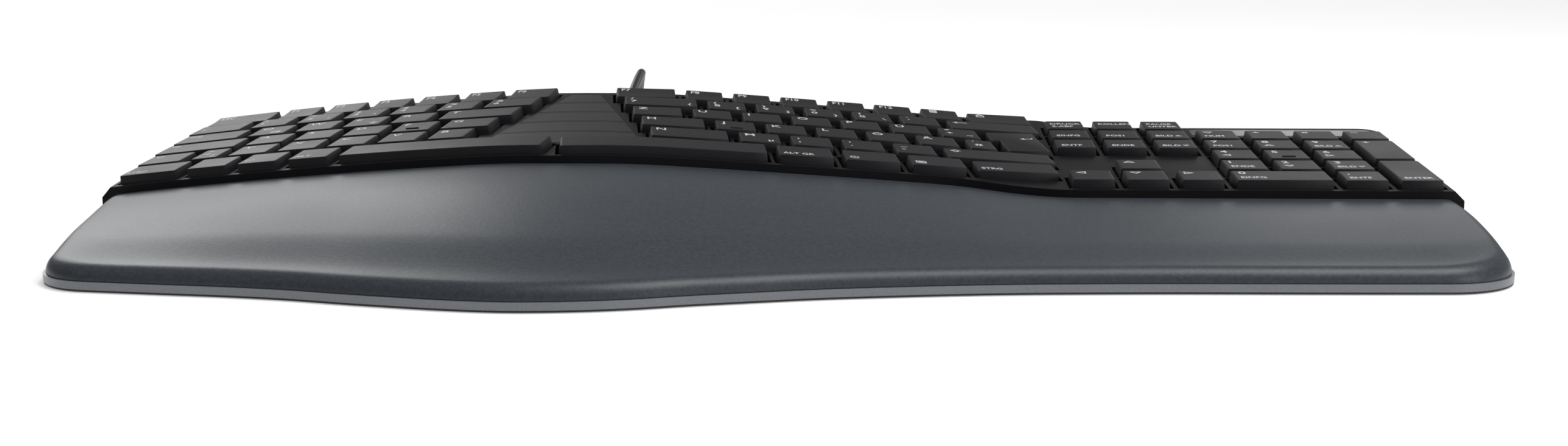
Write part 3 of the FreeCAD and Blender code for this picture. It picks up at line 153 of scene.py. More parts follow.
# Inner ABS parts as they leave the mould.
innerAbs = mouldedFinish("innerAbs", {"dark": "#3a3a3c", "light": "#444446", "grain": 0.8, "rough": 0.5})
# Silicone rubber of the domes: milky, dull.
siliconeRubber = mouldedFinish("siliconeRubber", {
    "dark": "#c6c6c0", "light": "#d2d2cc", "grain": 0.6, "cloud": 20.0, "rough": 0.6, "ior": 1.43})
# Polyester film of the switch membrane: thin and shiny.
polyesterFilm = mouldedFinish("polyesterFilm", {
    "dark": "#b6bdc2", "light": "#c4cacf", "grain": 2.0, "cloud": 50.0, "rough": 0.25,
    "bump": 0.1, "ior": 1.64})
# Zinc-plated sheet steel of the support plate: grey with a soft spangle.
zincSteel = mouldedFinish("zincSteel", {
    "dark": "#a9aaab", "light": "#bfc0c2", "grain": 4.0, "cloud": 20.0, "rough": 0.35,
    "roughSpread": 0.08, "bump": 0.1, "ior": 1.5, "metallic": 1.0})
# Glass-fibre laminate of the controller board under green solder mask.
boardLaminate = mouldedFinish("boardLaminate", {
    "dark": "#1c5a33", "light": "#25693d", "grain": 1.2, "cloud": 15.0, "rough": 0.3,
    "bump": 0.1, "ior": 1.55})
# Soft PVC of the cord, relief and plug grip: satin, very fine haze.
cordPvc = mouldedFinish("cordPvc", {
    "dark": "#1c1c1e", "light": "#242426", "grain": 0.6, "cloud": 25.0, "rough": 0.42, "ior": 1.53})
# Nickel-plated steel of the plug's shell: bright, faintly mottled.
nickelSteel = mouldedFinish("nickelSteel", {
    "dark": "#b9b8b4", "light": "#c9c8c4", "grain": 1.0, "cloud": 12.0, "rough": 0.24,
    "roughSpread": 0.06, "bump": 0.1, "depth": 0.01, "ior": 1.5, "metallic": 1.0})
# Blackened screws: dark steel with duller and shinier patches.
blackenedSteel = mouldedFinish("blackenedSteel", {
    "dark": "#4a4a4c", "light": "#5c5c5e", "grain": 0.5, "cloud": 3.0, "rough": 0.4,
    "roughSpread": 0.08, "ior": 1.5, "metallic": 1.0})
# Polyurethane rubber of the foot pads: matt and slightly porous.
padRubber = mouldedFinish("padRubber", {
    "dark": "#18181a", "light": "#222224", "grain": 0.5, "cloud": 10.0, "rough": 0.8,
    "bump": 0.5, "depth": 0.05, "ior": 1.52})
# ABS sprayed with fine silver paint: metal flakes under a satin clear coat.
silverPaint = mouldedFinish("silverPaint", {
    "dark": "#74777c", "light": "#898c91", "grain": 0.25, "cloud": 60.0, "rough": 0.4,
    "roughSpread": 0.03, "bump": 0.1, "depth": 0.01, "ior": 1.5, "metallic": 0.6,
    "coat": 0.2, "coatRough": 0.25})
# Printed legend ink: pale grey, flat.
legendInk = mouldedFinish("legendInk", {
    "dark": "#dcdcdd", "light": "#e9e9ea", "grain": 0.4, "cloud": 20.0, "rough": 0.55,
    "roughSpread": 0.03, "bump": 0.1, "depth": 0.01, "ior": 1.5})
# Moulded polyurethane skin of the palm rest: a fine leather-like grain with a soft satin shine.
cushionPu = mouldedFinish("cushionPu", {
    "dark": "#363b41", "light": "#444a50", "grain": 1.1, "cloud": 80.0, "rough": 0.42,
    "roughSpread": 0.02, "bump": 0.5, "depth": 0.09, "ior": 1.5})
# Woven nylon of the strap round the coil: matt and fuzzy.
strapNylon = mouldedFinish("strapNylon", {
    "dark": "#151516", "light": "#2a2a2c", "grain": 0.7, "cloud": 8.0, "rough": 0.85,
    "bump": 0.8, "depth": 0.15, "ior": 1.53, "sheen": 0.3})
# Gold-plated contacts in the plug: warm and bright.
contactGold = mouldedFinish("contactGold", {
    "dark": "#c9a24a", "light": "#d8b35c", "grain": 1.0, "cloud": 8.0, "rough": 0.25,
    "bump": 0.05, "depth": 0.01, "ior": 1.5, "metallic": 1.0})
print("materials ready")


def meshFrom(name, work):
    bmesh.ops.recalc_face_normals(work, faces=work.faces)
    mesh = bpy.data.meshes.new(name)
    work.to_mesh(mesh)
    work.free()
    return mesh


# Edges sharper than these angles in degrees stay sharp.
smoothBelow = {"cap": 38, "ribbed": 35, "plain": 40, "skin": 60}


def addPiece(name, work, material, body, smoothAngle=None):
    mesh = meshFrom(name, work)
    if smoothAngle is not None:
        mesh.shade_smooth()
        mesh.set_sharp_from_angle(angle=math.radians(smoothAngle))
    mesh.materials.append(material)
    piece = addObject(name, mesh)
    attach(piece, body)
    return piece


# Faces between one ring of points and the next, and a lid on each ring that lids counts.
def addRings(work, rings, lids=(0, -1)):
    for first, second in zip(rings, rings[1:]):
        for n in range(len(first)):
            m = (n + 1) % len(first)
            work.faces.new((first[n], second[n], second[m], first[m]))
    for n in lids:
        work.faces.new(rings[n])


def circle(radius, around):
    turns = [2 * math.pi * n / around for n in range(around)]
    return [(radius * math.cos(turn), radius * math.sin(turn)) for turn in turns]


# The cord, from its strain relief to the plug, as one spline; the points are the CAD route's.
cordLook = {
    "diameter": 3.8, "length": 1819.0, "exit": (-64.922, 131.035, 32.5),
    "route": [(-64.92, 131.03, 32.50), (-64.92, 151.03, 32.50), (-64.52, 174.03, 37.10),
              (-64.02, 195.03, 40.10), (-66.42, 217.03, 36.00), (-69.42, 237.03, 25.00),
              (-71.42, 257.03, 12.50), (-69.92, 279.03, 3.50), (-58.92, 301.03, 2.00),
              (-34.92, 313.03, 2.00), (-2.92, 307.03, 2.00), (25.08, 286.03, 2.00),
              (40.08, 259.03, 3.50), (42.08, 235.03, 10.50), (37.25, 214.63, 17.20),
              (36.00, 176.66, 17.20)],
    "coilMiddle": (9.478, 172.857), "coilRadius": 16.5, "coilPitch": 4.4, "coilBase": 4.0,
    "coilLayers": 4, "layerTurns": 2.25, "climbTurns": 0.5, "pointsPerTurn": 16, "tail": 27.0}


def coilPoint(turn):
    look = cordLook
    period = look["layerTurns"] + look["climbTurns"]
    done = min(int(turn / period + 1e-9), look["coilLayers"] - 1)
    here = turn - done * period
    way = 1 if done % 2 == 0 else -1
    outer = look["coilRadius"] + look["layerTurns"] * look["coilPitch"]
    start = outer if way == 1 else look["coilRadius"]
    height = look["coilBase"] + (look["coilLayers"] - 1 - done) * look["coilPitch"]
    if here <= look["layerTurns"]:
        radius = start - way * look["coilPitch"] * here
    else:
        share = (here - look["layerTurns"]) / look["climbTurns"]
        end = start - way * look["coilPitch"] * look["layerTurns"]
        radius = end - way * look["coilPitch"] * look["climbTurns"] * share * (1 - share)
        height -= look["coilPitch"] * share * share * (3 - 2 * share)
    # The spline runs inside its control points, which stand out by this much.
    radius /= math.cos(math.pi / look["pointsPerTurn"])
    angle = -2 * math.pi * turn
    x, y = look["coilMiddle"]
    return x + radius * math.cos(angle), y + radius * math.sin(angle), height


def makeCord():
    look = cordLook
    turns = look["coilLayers"] * look["layerTurns"] + (look["coilLayers"] - 1) * look["climbTurns"]
    steps = round(turns * look["pointsPerTurn"])
    points = list(look["route"])
    points += [coilPoint(turns * n / steps) for n in range(steps + 1)]
    x, y = look["coilMiddle"]
    endX = x - look["coilRadius"] - look["layerTurns"] * look["coilPitch"]
    points[-1] = (endX, y, look["coilBase"])
    points += [(endX, y + look["tail"] / 2, look["coilBase"]), (endX, y + look["tail"], look["coilBase"])]
    curve = bpy.data.curves.new("cordLead", "CURVE")
    curve.dimensions = "3D"
    spline = curve.splines.new("NURBS")
    spline.points.add(len(points) - 1)
    for point, place in zip(spline.points, points):
        point.co = (*(Vector(place) * mm), 1.0)
    spline.order_u = 3
    spline.use_endpoint_u = True
    spline.resolution_u = 6
    curve.bevel_depth = look["diameter"] / 2 * mm
    curve.bevel_resolution = 6
    curve.use_fill_caps = True
    curve.materials.append(cordPvc)
    piece = addObject("cordLead", curve)
    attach(piece, "case")
    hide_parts("cord", "cord_coil")
    return piece, Vector(points[-1])


cordLead, cordEnd = makeCord()
print("cord laid")


# The key field follows the same layout as the CAD, in millimetres from the crown line.
layout = {
    "pitch": 19.05, "sideGap": 4.7, "rowGap": 3.55, "padHeight": 21.9, "slope": 3.64,
    "crownRise": 13.25, "crownHalf": 36.0, "crownSlope": 4.807, "leftCurl": 0.000412,
    "rightCurl": 0.000153, "crownGrowth": 0.000667, "crownBlend": 24.0, "splay": 6.5,
    "padX": 173.9, "padY": 16.9, "move": (-70.522, 12.857)}
pitch = layout["pitch"]
slope = math.tan(math.radians(layout["slope"]))
crownTangent = math.tan(math.radians(layout["crownSlope"]))
crownHalf, crownRise, blendWidth = layout["crownHalf"], layout["crownRise"], layout["crownBlend"]
frameMove = Vector((*layout["move"], 0))


def flankEnd():
    curl = layout["rightCurl"]
    b = crownTangent + curl * blendWidth / 2
    c = crownRise - crownTangent * crownHalf / 2 - crownTangent * blendWidth / 2
    return (math.sqrt(b * b + 2 * curl * c) - b) / curl


hollowStart = flankEnd()
hollowEnd = hollowStart + blendWidth


def domeRise(x):
    inner = min(abs(x), crownHalf)
    outer = max(abs(x) - crownHalf, 0.0)
    curl = layout["leftCurl"] if x < 0 else layout["rightCurl"]
    if x > 0 and outer >= hollowEnd:
        return 0.0
    if x > 0 and outer > hollowStart:
        return (crownTangent + curl * hollowStart) * (hollowEnd - outer) ** 2 / (2 * blendWidth)
    return crownRise - crownTangent * (inner * inner / (2 * crownHalf) + outer) - curl * outer * outer / 2


def keyTop(x, y):
    flat = layout["padHeight"] + slope * (y + layout["padY"])
    return flat + domeRise(x) * (1 + layout["crownGrowth"] * y)


def deckNormal(x, y):
    along = Vector((1.0, 0, keyTop(x + 0.5, y) - keyTop(x - 0.5, y)))
    back = Vector((0, 1.0, keyTop(x, y + 0.5) - keyTop(x, y - 0.5)))
    return along.cross(back).normalized()


flankSlope = crownTangent + layout["leftCurl"] * pitch * 3.5
pitchU = pitch * math.cos(math.atan(flankSlope))
pitchV = pitch * math.cos(math.atan(slope + crownRise * layout["crownGrowth"]))
padPitchV = pitch * math.cos(math.atan(slope))


def planPoint(block, u, v):
    if block == "pad":
        return Vector((layout["padX"] + u * pitch, v * padPitchV - layout["padY"], 0))
    side = -1 if block == "left" else 1
    turn = math.radians(layout["splay"]) * -side
    across, back = u * pitchU, (v - 1) * pitchV - layout["rowGap"] / 2
    return Vector((side * crownHalf + across * math.cos(turn) + back * math.sin(turn),
                   back * math.cos(turn) - across * math.sin(turn), 0))


def keyPlace(block, u, v):
    at = planPoint(block, u, v)
    at.z = keyTop(at.x, at.y)
    normal = deckNormal(at.x, at.y)
    along = planPoint(block, u + 0.1, v) - planPoint(block, u, v)
    along = (along - normal * along.dot(normal)).normalized()
    across = normal.cross(along)
    return Matrix(((along.x, across.x, normal.x, at.x), (along.y, across.y, normal.y, at.y),
                   (along.z, across.z, normal.z, at.z), (0, 0, 0, 1)))


# A point beside a key's middle, so far under the key tops, in metres in the model's frame.
def keyPoint(place, x, y, depth, bent=False):
    point = place @ Vector((x, y, -depth))
    if bent:
        flat = place @ Vector((x, y, 0))
        point.z += keyTop(flat.x, flat.y) - flat.z
    return (point + frameMove) * mm


# Rows of keys: block, row, where it starts, and the keys of each node. A key is its legends, or
# its width with them where it isn't one unit wide. A legend without an anchor is a letter.
keyRows = [
    ("left", 0, -6.85, {
        "key_control_left": [(1.35, "word:STRG")],
        "keys_modifier_left": ["", "front:ring", "word:ALT"],
        "key_space_left": [(4.1, "")]}),
    ("left", 1, -6.95, {
        "key_shift_left": [(1.1, "sign:shift")],
        "keys_letter_lower_left": [(0.75, "upper:> lower:< corner:|"), "Y", "X", "C", "V", (0.95, "B")]}),
    ("left", 2, -7.05, {
        "key_caps_lock": [(1.9, "sign:caps")],
        "keys_letter_home_left": ["A", "S", "D", "F bar:bar", (1.2, "G")]}),
    ("left", 3, -7.1, {
        "key_tab": [(1.6, "sign:tab")],
        "keys_letter_upper_left": ["Q corner:@", "W", "E corner:€", "R", (1.75, "T")]}),
    ("left", 4, -7.2, {
        "keys_number_left": [(1.35, "upper:° lower:^"), "upper:! lower:1", 'upper:" lower:2 corner:²',
                             "upper:§ lower:3 corner:³", "upper:$ lower:4", "upper:% lower:5",
                             (1.25, "upper:& lower:6")]}),
    ("left", 5, -7.25, {
        "key_escape": [(1.6, "top:ESC")],
        "keys_function_left": ["top:F1", "top:F2", "top:F3", "top:F4", "top:F5", (1.15, "top:F6")]}),
    ("right", 0, -2.3, {
        "key_space_right": [(4.05, "")],
        "keys_modifier_right": [(1.25, "word:ALT__GR"), (1.25, "front:ring"), (1.25, "front:menu")],
        "key_control_right": [(1.75, "word:STRG")]}),
    ("right", 1, -0.6, {
        "keys_letter_lower_right": [(1.7, "N"), "M corner:µ", "upper:; lower:,", "upper:: lower:.",
                                    "upper:_ lower:-"],
        "key_shift_right": [(2.3, "sign:shift")]}),
    ("right", 2, -0.75, {
        "keys_letter_home_right": [(1.45, "H"), "J bar:bar", "K", "L", "Ö", "Ä",
                                   (0.75, "upper:' lower:#")]}),
    ("right", 3, -0.9, {
        "keys_letter_upper_right": [(1.2, "Z"), "U", "I", "O", "P", "Ü", "upper:* lower:+ corner:~"]}),
    ("right", 4, -1.05, {
        "keys_number_right": [(1.7, "upper:/ lower:7 corner:{"), "upper:( lower:8 corner:[",
                              "upper:) lower:9 corner:]", "upper:= lower:0 corner:}",
                              "upper:? lower:ß corner:\\", "upper:` lower:´"],
        "key_backspace": [(2.05, "sign:back")]}),
    ("right", 5, -1.2, {
        "keys_function_right": [(1.45, "top:F7"), "top:F8", "top:F9", "top:F10", "top:F11", "top:F12",
                                "high:calc", (1.5, "high:lock")]}),
    ("pad", 0, 0, {
        "key_arrow_left": ["sign:left"], "key_arrow_down": ["sign:down"], "key_arrow_right": ["sign:right"],
        "key_pad_zero": [(2, "digit:0 under:EINFG")], "key_pad_decimal": ["digit:, under:ENTF"]}),
    ("pad", 1, 1, {"key_arrow_up": ["sign:up"]}),
    ("pad", 1, 3, {
        "keys_pad_lower": ["digit:1 under:ENDE", "digit:2 second:down",
                           "digit:3 under:BILD fillDown:fillDown"]}),
    ("pad", 2, 3, {"keys_pad_middle": ["digit:4 second:left", "digit:5 bar:bar", "digit:6 second:right"]}),
    ("pad", 3, 0, {
        "keys_edit_lower": ["under:ENTF", "under:ENDE", "under:BILD fillDown:fillDown"],
        "keys_pad_upper": ["digit:7 under:POS1", "digit:8 second:up", "digit:9 under:BILD fillUp:fillUp"]}),
    ("pad", 4, 0, {
        "keys_edit_upper": ["under:EINFG", "under:POS1", "under:BILD fillUp:fillUp"],
        "keys_pad_top": ["sign:down under:NUM", "digit:÷", "digit:×", "digit:−"]}),
    ("pad", 5, 0, {
        "keys_system": ["first:DRUCK under:S-ABF", "first:ROLLEN", "first:PAUSE under:UNTBR"]}),
]
returnKey = {"right": 7.5, "lower": 1.05, "upper": 1.2}
# Keys two rows deep: node, block, middle, width, legend, and half rows from the middle to the legend.
tallKeys = [
    ("key_pad_enter", "pad", 6.5, 1.0, 1, "under:ENTER", -1),
    ("key_pad_plus", "pad", 6.5, 3.0, 1, "digit:+", 1),
    ("key_enter", "right", returnKey["right"] - returnKey["lower"] / 2, 3.0, returnKey["lower"],
     "corner:enterArrow", 1)]

# A homing bar's levels are its depth under the key top and how far it grows.
capLook = {
    "height": 6.5, "flareX": 0.85, "flareY": 0.55, "wall": 1.2, "roof": 1.5, "edge": 0.3, "hem": 0.04,
    "topCorner": 0.45, "skirtCorner": 1.15, "stemRadius": 2.8, "stemRoot": 0.3, "stemEnd": 11.8,
    "stemSides": 16, "threeStems": 1.9, "bentWidth": 3, "scoop": 0.55, "crease": 0.1, "scoopCurve": 1.5,
    "edgeMiddle": 0.3, "levels": (0.35, 0.7, 0.97), "cellsX": 4, "cellsY": 6, "bentCellsX": 6,
    "bentCell": 4.0, "barLength": 5.0, "barWidth": 0.9, "barAt": 3.6,
    "barLevels": ((0.05, 0.0), (-0.315, -0.08), (-0.45, -0.25))}


# From the top's edge down the outside and up the inside again: how far a ring is drawn in, its
# depth under the top, and its share of the flare.
def capLevels(shares, hem):
    look = capLook
    edge, tall = look["edge"], look["height"]
    middle = edge * look["edgeMiddle"]
    levels = [(edge, 0.0, 0.0), (middle, middle, 0.0), (0.0, edge, 0.0)]
    levels += [(0.0, tall * share, share) for share in shares]
    levels += [(hem, tall, 1.0), (look["wall"], tall, 1.0)]
    return levels + [(look["wall"], look["roof"], look["roof"] / tall)]


def capCorner(share):
    return capLook["topCorner"] + (capLook["skirtCorner"] - capLook["topCorner"]) * share


# Grid lines across a cap. Its first and last cells are as wide as the corner.
def gridLines(half, corner, cells):
    inner = [(-1 + 2 * n / (cells - 2)) * (half - corner) for n in range(cells - 1)]
    return [-half, *inner, half]


# One closed keycap: a grid over its top, and rings round its sides and inside.
def addCap(work, place, halfX, halfY, bent, dropOf):
    look = capLook
    bentCells = max(look["bentCellsX"], int(2 * halfX / look["bentCell"]))
    cellsX, cellsY = bentCells if bent else look["cellsX"], look["cellsY"]

    def level(inset, depth, share, spots):
        corner = capCorner(share)
        xs = gridLines(halfX + look["flareX"] * share - inset, corner, cellsX)
        ys = gridLines(halfY + look["flareY"] * share - inset, corner, cellsY)
        pull = corner * (1 - math.sqrt(0.5))
        verts = []
        for i, j in spots:
            x, y = xs[i], ys[j]
            if i in (0, cellsX) and j in (0, cellsY):
                x -= math.copysign(pull, x)
                y -= math.copysign(pull, y)
            verts.append(work.verts.new(keyPoint(place, x, y, depth + dropOf(x, y) * (1 - share), bent)))
        return verts

    rim = [(i, 0) for i in range(cellsX)] + [(cellsX, j) for j in range(cellsY)]
    rim += [(i, cellsY) for i in range(cellsX, 0, -1)] + [(0, j) for j in range(cellsY, 0, -1)]
    spots = [(i, j) for i in range(cellsX + 1) for j in range(cellsY + 1)]
    levels = capLevels(look["levels"], look["hem"])
    top = dict(zip(spots, level(*levels[0], spots)))
    for i in range(cellsX):
        for j in range(cellsY):
            work.faces.new((top[i, j], top[i + 1, j], top[i + 1, j + 1], top[i, j + 1]))
    addRings(work, [[top[spot] for spot in rim]] + [level(*values, rim) for values in levels[1:]], lids=[-1])


# The L-shaped return key: rings along its outline, closed by flat faces.
def addReturnCap(work, place):
    look = capLook
    upper, lower = returnKey["upper"] * pitch, returnKey["lower"] * pitch
    gap, rowGap = layout["sideGap"], layout["rowGap"]
    right = (lower - gap) / 2
    left, farLeft = -right, right - (upper - gap)
    back = (2 * pitch - rowGap) / 2
    step = rowGap / 2
    corners = [Vector(c) for c in ((left, -back), (right, -back), (right, back), (farLeft, back),
                                   (farLeft, step), (left, step))]

    def ring(inset, depth, share):
        corner = capCorner(share)
        spread = Vector((look["flareX"], look["flareY"])) * share - Vector((inset, inset))
        verts = []
        for n, here in enumerate(corners):
            into = (here - corners[n - 1]).normalized()
            out = (corners[(n + 1) % len(corners)] - here).normalized()
            away = Vector((into.y + out.y, -into.x - out.x))
            tip = here + away * spread
            middle = tip + (out - into) * corner * (1 - math.sqrt(0.5))
            for point in (tip - into * corner, middle, tip + out * corner):
                verts.append(work.verts.new(keyPoint(place, point.x, point.y, depth)))
        return verts

    addRings(work, [ring(*level) for level in capLevels(look["levels"][:-1], 0.0)])


def addStem(work, place, x, y, bent):
    look = capLook
    rings = []
    for depth in (look["roof"] - look["stemRoot"], look["stemEnd"]):
        rings.append([work.verts.new(keyPoint(place, x + a, y + b, depth, bent))
                      for a, b in circle(look["stemRadius"], look["stemSides"])])
    addRings(work, rings)


# A homing bar: a small bar with sloping ends on the key top.
def addBar(work, place, halfY):
    look = capLook
    rings = []
    for depth, grow in look["barLevels"]:
        hx, hy = look["barLength"] / 2 + grow, look["barWidth"] / 2 + grow
        rings.append([work.verts.new(keyPoint(place, a * hx, look["barAt"] - halfY + b * hy, depth))
                      for a, b in ((-1, -1), (1, -1), (1, 1), (-1, 1))])
    addRings(work, rings)


# Legends. Anchors say where a mark stands on the key top, in millimetres: from the left edge
# (or the right, where negative), from the back edge to the mark's top, and its height.
# Narrow and wide stretch words and single marks sideways.
legendLook = {
    "thickness": 0.04, "lift": 0.015, "sunk": 0.01, "stroke": 0.5, "bolder": 0.012, "slab": 0.01,
    "narrow": 0.9, "wide": 1.05,
    "letter": (2.0, 1.9, 3.5), "upper": (2.2, 2.2, 2.9), "lower": (2.2, 7.1, 3.3), "corner": (-2.2, 9.8, 2.9),
    "word": (1.3, 10.4, 2.5), "front": (1.6, 9.6, 3.0), "top": (1.8, 1.6, 2.9), "high": (3.4, 1.5, 3.2),
    "sign": (2.2, 2.4, 3.0), "digit": (2.3, 1.7, 3.6), "second": (2.3, 8.4, 2.7), "under": (2.0, 9.6, 2.6),
    "first": (1.6, 4.6, 2.7), "fillUp": (9.6, 10.0, 1.7), "fillDown": (9.6, 10.0, 1.7)}
# Signs as strokes in a box one high.
signStrokes = {
    "left": [[(1.0, 0.0), (1.0, 1.0), (0.0, 0.5), (1.0, 0.0)]],
    "right": [[(0.0, 0.0), (0.0, 1.0), (1.0, 0.5), (0.0, 0.0)]],
    "up": [[(0.0, 0.1), (1.2, 0.1), (0.6, 0.9), (0.0, 0.1)]],
    "fillUp": [[(0.0, 0.1), (1.2, 0.1), (0.6, 0.9), (0.0, 0.1)], [(0.3, 0.25), (0.9, 0.25), (0.6, 0.6)]],
    "shift": [[(0.35, 0.0), (0.35, 0.45), (0.0, 0.45), (0.55, 1.0), (1.1, 0.45), (0.75, 0.45), (0.75, 0.0),
               (0.35, 0.0)]],
    "tab": [[(0.0, 0.55), (0.0, 1.0)], [(0.1, 0.77), (1.5, 0.77)], [(0.4, 0.98), (0.1, 0.77), (0.4, 0.56)],
            [(1.6, 0.0), (1.6, 0.45)], [(0.1, 0.22), (1.5, 0.22)], [(1.2, 0.43), (1.5, 0.22), (1.2, 0.01)]],
    "back": [[(0.0, 0.5), (1.7, 0.5)], [(0.45, 0.85), (0.0, 0.5), (0.45, 0.15)]],
    "enterArrow": [[(1.5, 0.95), (1.5, 0.4), (0.0, 0.4)], [(0.4, 0.7), (0.0, 0.4), (0.4, 0.1)]],
    "calc": [[(0.0, 0.0), (0.8, 0.0), (0.8, 1.0), (0.0, 1.0), (0.0, 0.0)], [(0.2, 0.75), (0.6, 0.75)],
             [(0.2, 0.45), (0.6, 0.45)], [(0.2, 0.22), (0.6, 0.22)]],
    "lock": [[(0.0, 0.0), (0.9, 0.0), (0.9, 0.55), (0.0, 0.55), (0.0, 0.0)],
             [(0.2, 0.6), (0.2, 0.85), (0.45, 1.0), (0.7, 0.85), (0.7, 0.6)]],
    "menu": [[(0.0, 0.0), (1.1, 0.0), (1.1, 1.0), (0.0, 1.0), (0.0, 0.0)], [(0.3, 0.7), (0.8, 0.7)],
             [(0.3, 0.45), (0.8, 0.45)]],
    "ring": [[(0.5 + x, 0.5 + y) for x, y in circle(0.5, 12) + [(0.5, 0.0)]], [(0.42, 0.5), (0.58, 0.5)]],
}
for name, turned in (("down", "up"), ("fillDown", "fillUp"), ("caps", "shift")):
    signStrokes[name] = [[(x, 1 - y) for x, y in line] for line in signStrokes[turned]]
glyphs = {}


# A word as a flat slab: its points and faces.
def glyphOf(text):
    if text not in glyphs:
        curve = bpy.data.curves.new("glyph", "FONT")
        curve.body = text
        curve.resolution_u = 3
        curve.extrude = legendLook["slab"]
        curve.offset = legendLook["bolder"]
        holder = addObject("glyph", curve)
        bpy.context.view_layer.update()
        mesh = bpy.data.meshes.new_from_object(holder.evaluated_get(bpy.context.evaluated_depsgraph_get()))
        bpy.data.objects.remove(holder)
        points = [(v.co.x, v.co.y, v.co.z > 0) for v in mesh.vertices]
        glyphs[text] = points, [tuple(f.vertices) for f in mesh.polygons]
        bpy.data.meshes.remove(mesh)
    return glyphs[text]


capitalHeight = max(point[1] for point in glyphOf("H")[0])


# A sign's strokes as flat bars, from just under the key top to the ink's face.
def addSign(work, place, name, x, y, height, dropOf):
    look = legendLook
    half = look["stroke"] / 2
    for line in signStrokes[name]:
        points = [Vector((x + a * height, y + b * height)) for a, b in line]
        for a, b in zip(points, points[1:]):
            way = (b - a).normalized()
            side = Vector((-way.y, way.x)) * half
            start, end = a - way * half, b + way * half
            rings = []
            for rise in (-look["sunk"], look["lift"] + look["thickness"]):
                rings.append([work.verts.new(keyPoint(place, p.x, p.y, dropOf(p.x, p.y) - rise))
                              for p in (start - side, end - side, end + side, start + side)])
            addRings(work, rings)


def addLegends(work, place, halfX, halfY, spec, dropOf):
    look = legendLook
    for mark in spec.split():
        anchor, text = mark.split(":", 1) if ":" in mark else ("letter", mark)
        if anchor == "bar":
            continue
        text = text.replace("__", " ")
        fromSide, fromBack, height = look[anchor]
        bottom = halfY - fromBack - height
        if text in signStrokes:
            wide = height * max(x for line in signStrokes[text] for x, _ in line)
            start = -halfX + fromSide if fromSide > 0 else halfX + fromSide - wide
            addSign(work, place, text, start, bottom, height, dropOf)
            continue
        points, faces = glyphOf(text)
        up = height / capitalHeight
        along = up * (look["narrow"] if len(text) > 1 else look["wide"])
        wide = max(p[0] for p in points) * along
        start = -halfX + fromSide if fromSide > 0 else halfX + fromSide - wide
        start -= min(p[0] for p in points) * along
        verts = []
        for x, y, above in points:
            a, b = start + x * along, bottom + y * up
            depth = -look["lift"] - look["thickness"] if above else look["sunk"]
            verts.append(work.verts.new(keyPoint(place, a, b, dropOf(a, b) + depth)))
        for face in faces:
            work.faces.new([verts[n] for n in face])


def capHalf(width, deep):
    return (width * pitch - layout["sideGap"]) / 2, (deep * pitch - layout["rowGap"]) / 2


def stemPlaces(width, deep):
    reach = (max(width, deep) - 1) * pitch / 2
    places = [(0.0, 0.0)]
    if width >= capLook["threeStems"]:
        places += [(-reach, 0.0), (reach, 0.0)]
    if deep > 1:
        places += [(0.0, -reach), (0.0, reach)]
    return places


# The function row's tops rise again towards the back, behind a soft crease.
def scoopDrop(halfY):
    def drop(x, y):
        risen = max(0.0, min(1.0, y / halfY + capLook["crease"])) ** capLook["scoopCurve"]
        return capLook["scoop"] * (1 - risen)
    return drop


def flatDrop(x, y):
    return 0.0


functionRow = 5


def makeKeys():
    keys = []
    for block, row, at, groups in keyRows:
        for node, caps in groups.items():
            for cap in caps:
                width, spec = cap if isinstance(cap, tuple) else (1, cap)
                keys.append((node, block, at + width / 2, row + 0.5, width, spec, 1, 0))
                at += width
    for *key, legendRow in tallKeys:
        keys.append((*key, 2, legendRow))
    capMeshes, legendMeshes = defaultdict(bmesh.new), defaultdict(bmesh.new)
    for node, block, u, v, width, spec, deep, legendRow in keys:
        work = capMeshes[node]
        place = keyPlace(block, u, v)
        halfX, halfY = capHalf(width, deep)
        bent = width > capLook["bentWidth"]
        dropOf = scoopDrop(halfY) if block != "pad" and v > functionRow else flatDrop
        if node == "key_enter":
            addReturnCap(work, place)
        else:
            addCap(work, place, halfX, halfY, bent, dropOf)
        for x, y in stemPlaces(width, deep):
            addStem(work, place, x, y, bent)
        if "bar:bar" in spec:
            addBar(work, place, halfY)
        if spec:
            legendPlace = place @ Matrix.Translation((0, legendRow * pitch / 2, 0))
            addLegends(legendMeshes[node], legendPlace, halfX, capHalf(width, 1)[1], spec, dropOf)
    for node, work in capMeshes.items():
        cap = addPiece("caps." + node, work, keycapAbs, node + "_body",
                       smoothBelow["cap"])
        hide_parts(node)
        if node in legendMeshes:
            addPiece("legends." + node, legendMeshes[node], legendInk, node + "_body")


makeKeys()
print("keys and legends made")


palmLook = {
    "front": [(-128.0, -116.6), (-82.0, -124.0), (-46.0, -134.1), (-17.4, -140.7), (1.1, -142.0),
              (25.8, -138.7), (56.0, -129.4), (98.0, -118.8), (158.1, -111.0), (276.0, -107.7)],
    "leftCorner": 23.0, "rightCorner": 27.0, "leftTaper": 13.3, "rightTaper": 3.3, "lip": 1.8,
    "leftMargin": 3.1, "rightMargin": 4.1, "bends": (90.0, 60.0, 60.0), "closest": 0.05, "blend": 30.0,
    "ledge": 0.9, "gap": 0.5, "foot": 3.65, "belowTop": 5.8, "trimTop": 3.5, "nose": 4.4, "noseDepth": 4.6,
    "sideRoll": 1.0, "cornerRoll": 3.0, "cornerNose": 3.0, "cornerReach": 38.0, "endInset": 0.12,
    "endZone": 30.0, "endSteps": 26, "step": 3.0, "around": 52, "probe": 1.5, "lastSlope": 0.1,
    "profile": [(0.0, 0.0), (0.1, 0.115), (0.29, 0.5), (0.64, 0.9), (1.0, 1.0)],
    "rim": ((0.7, 0.95), (0.12, 0.95), (0.12, 0.45), (0.35, 0.3), (0.7, 0.3))}
leftEdge = planPoint("left", -6.85, 0).x - palmLook["leftMargin"]
rightEdge = planPoint("pad", 7, 0).x + palmLook["rightMargin"]


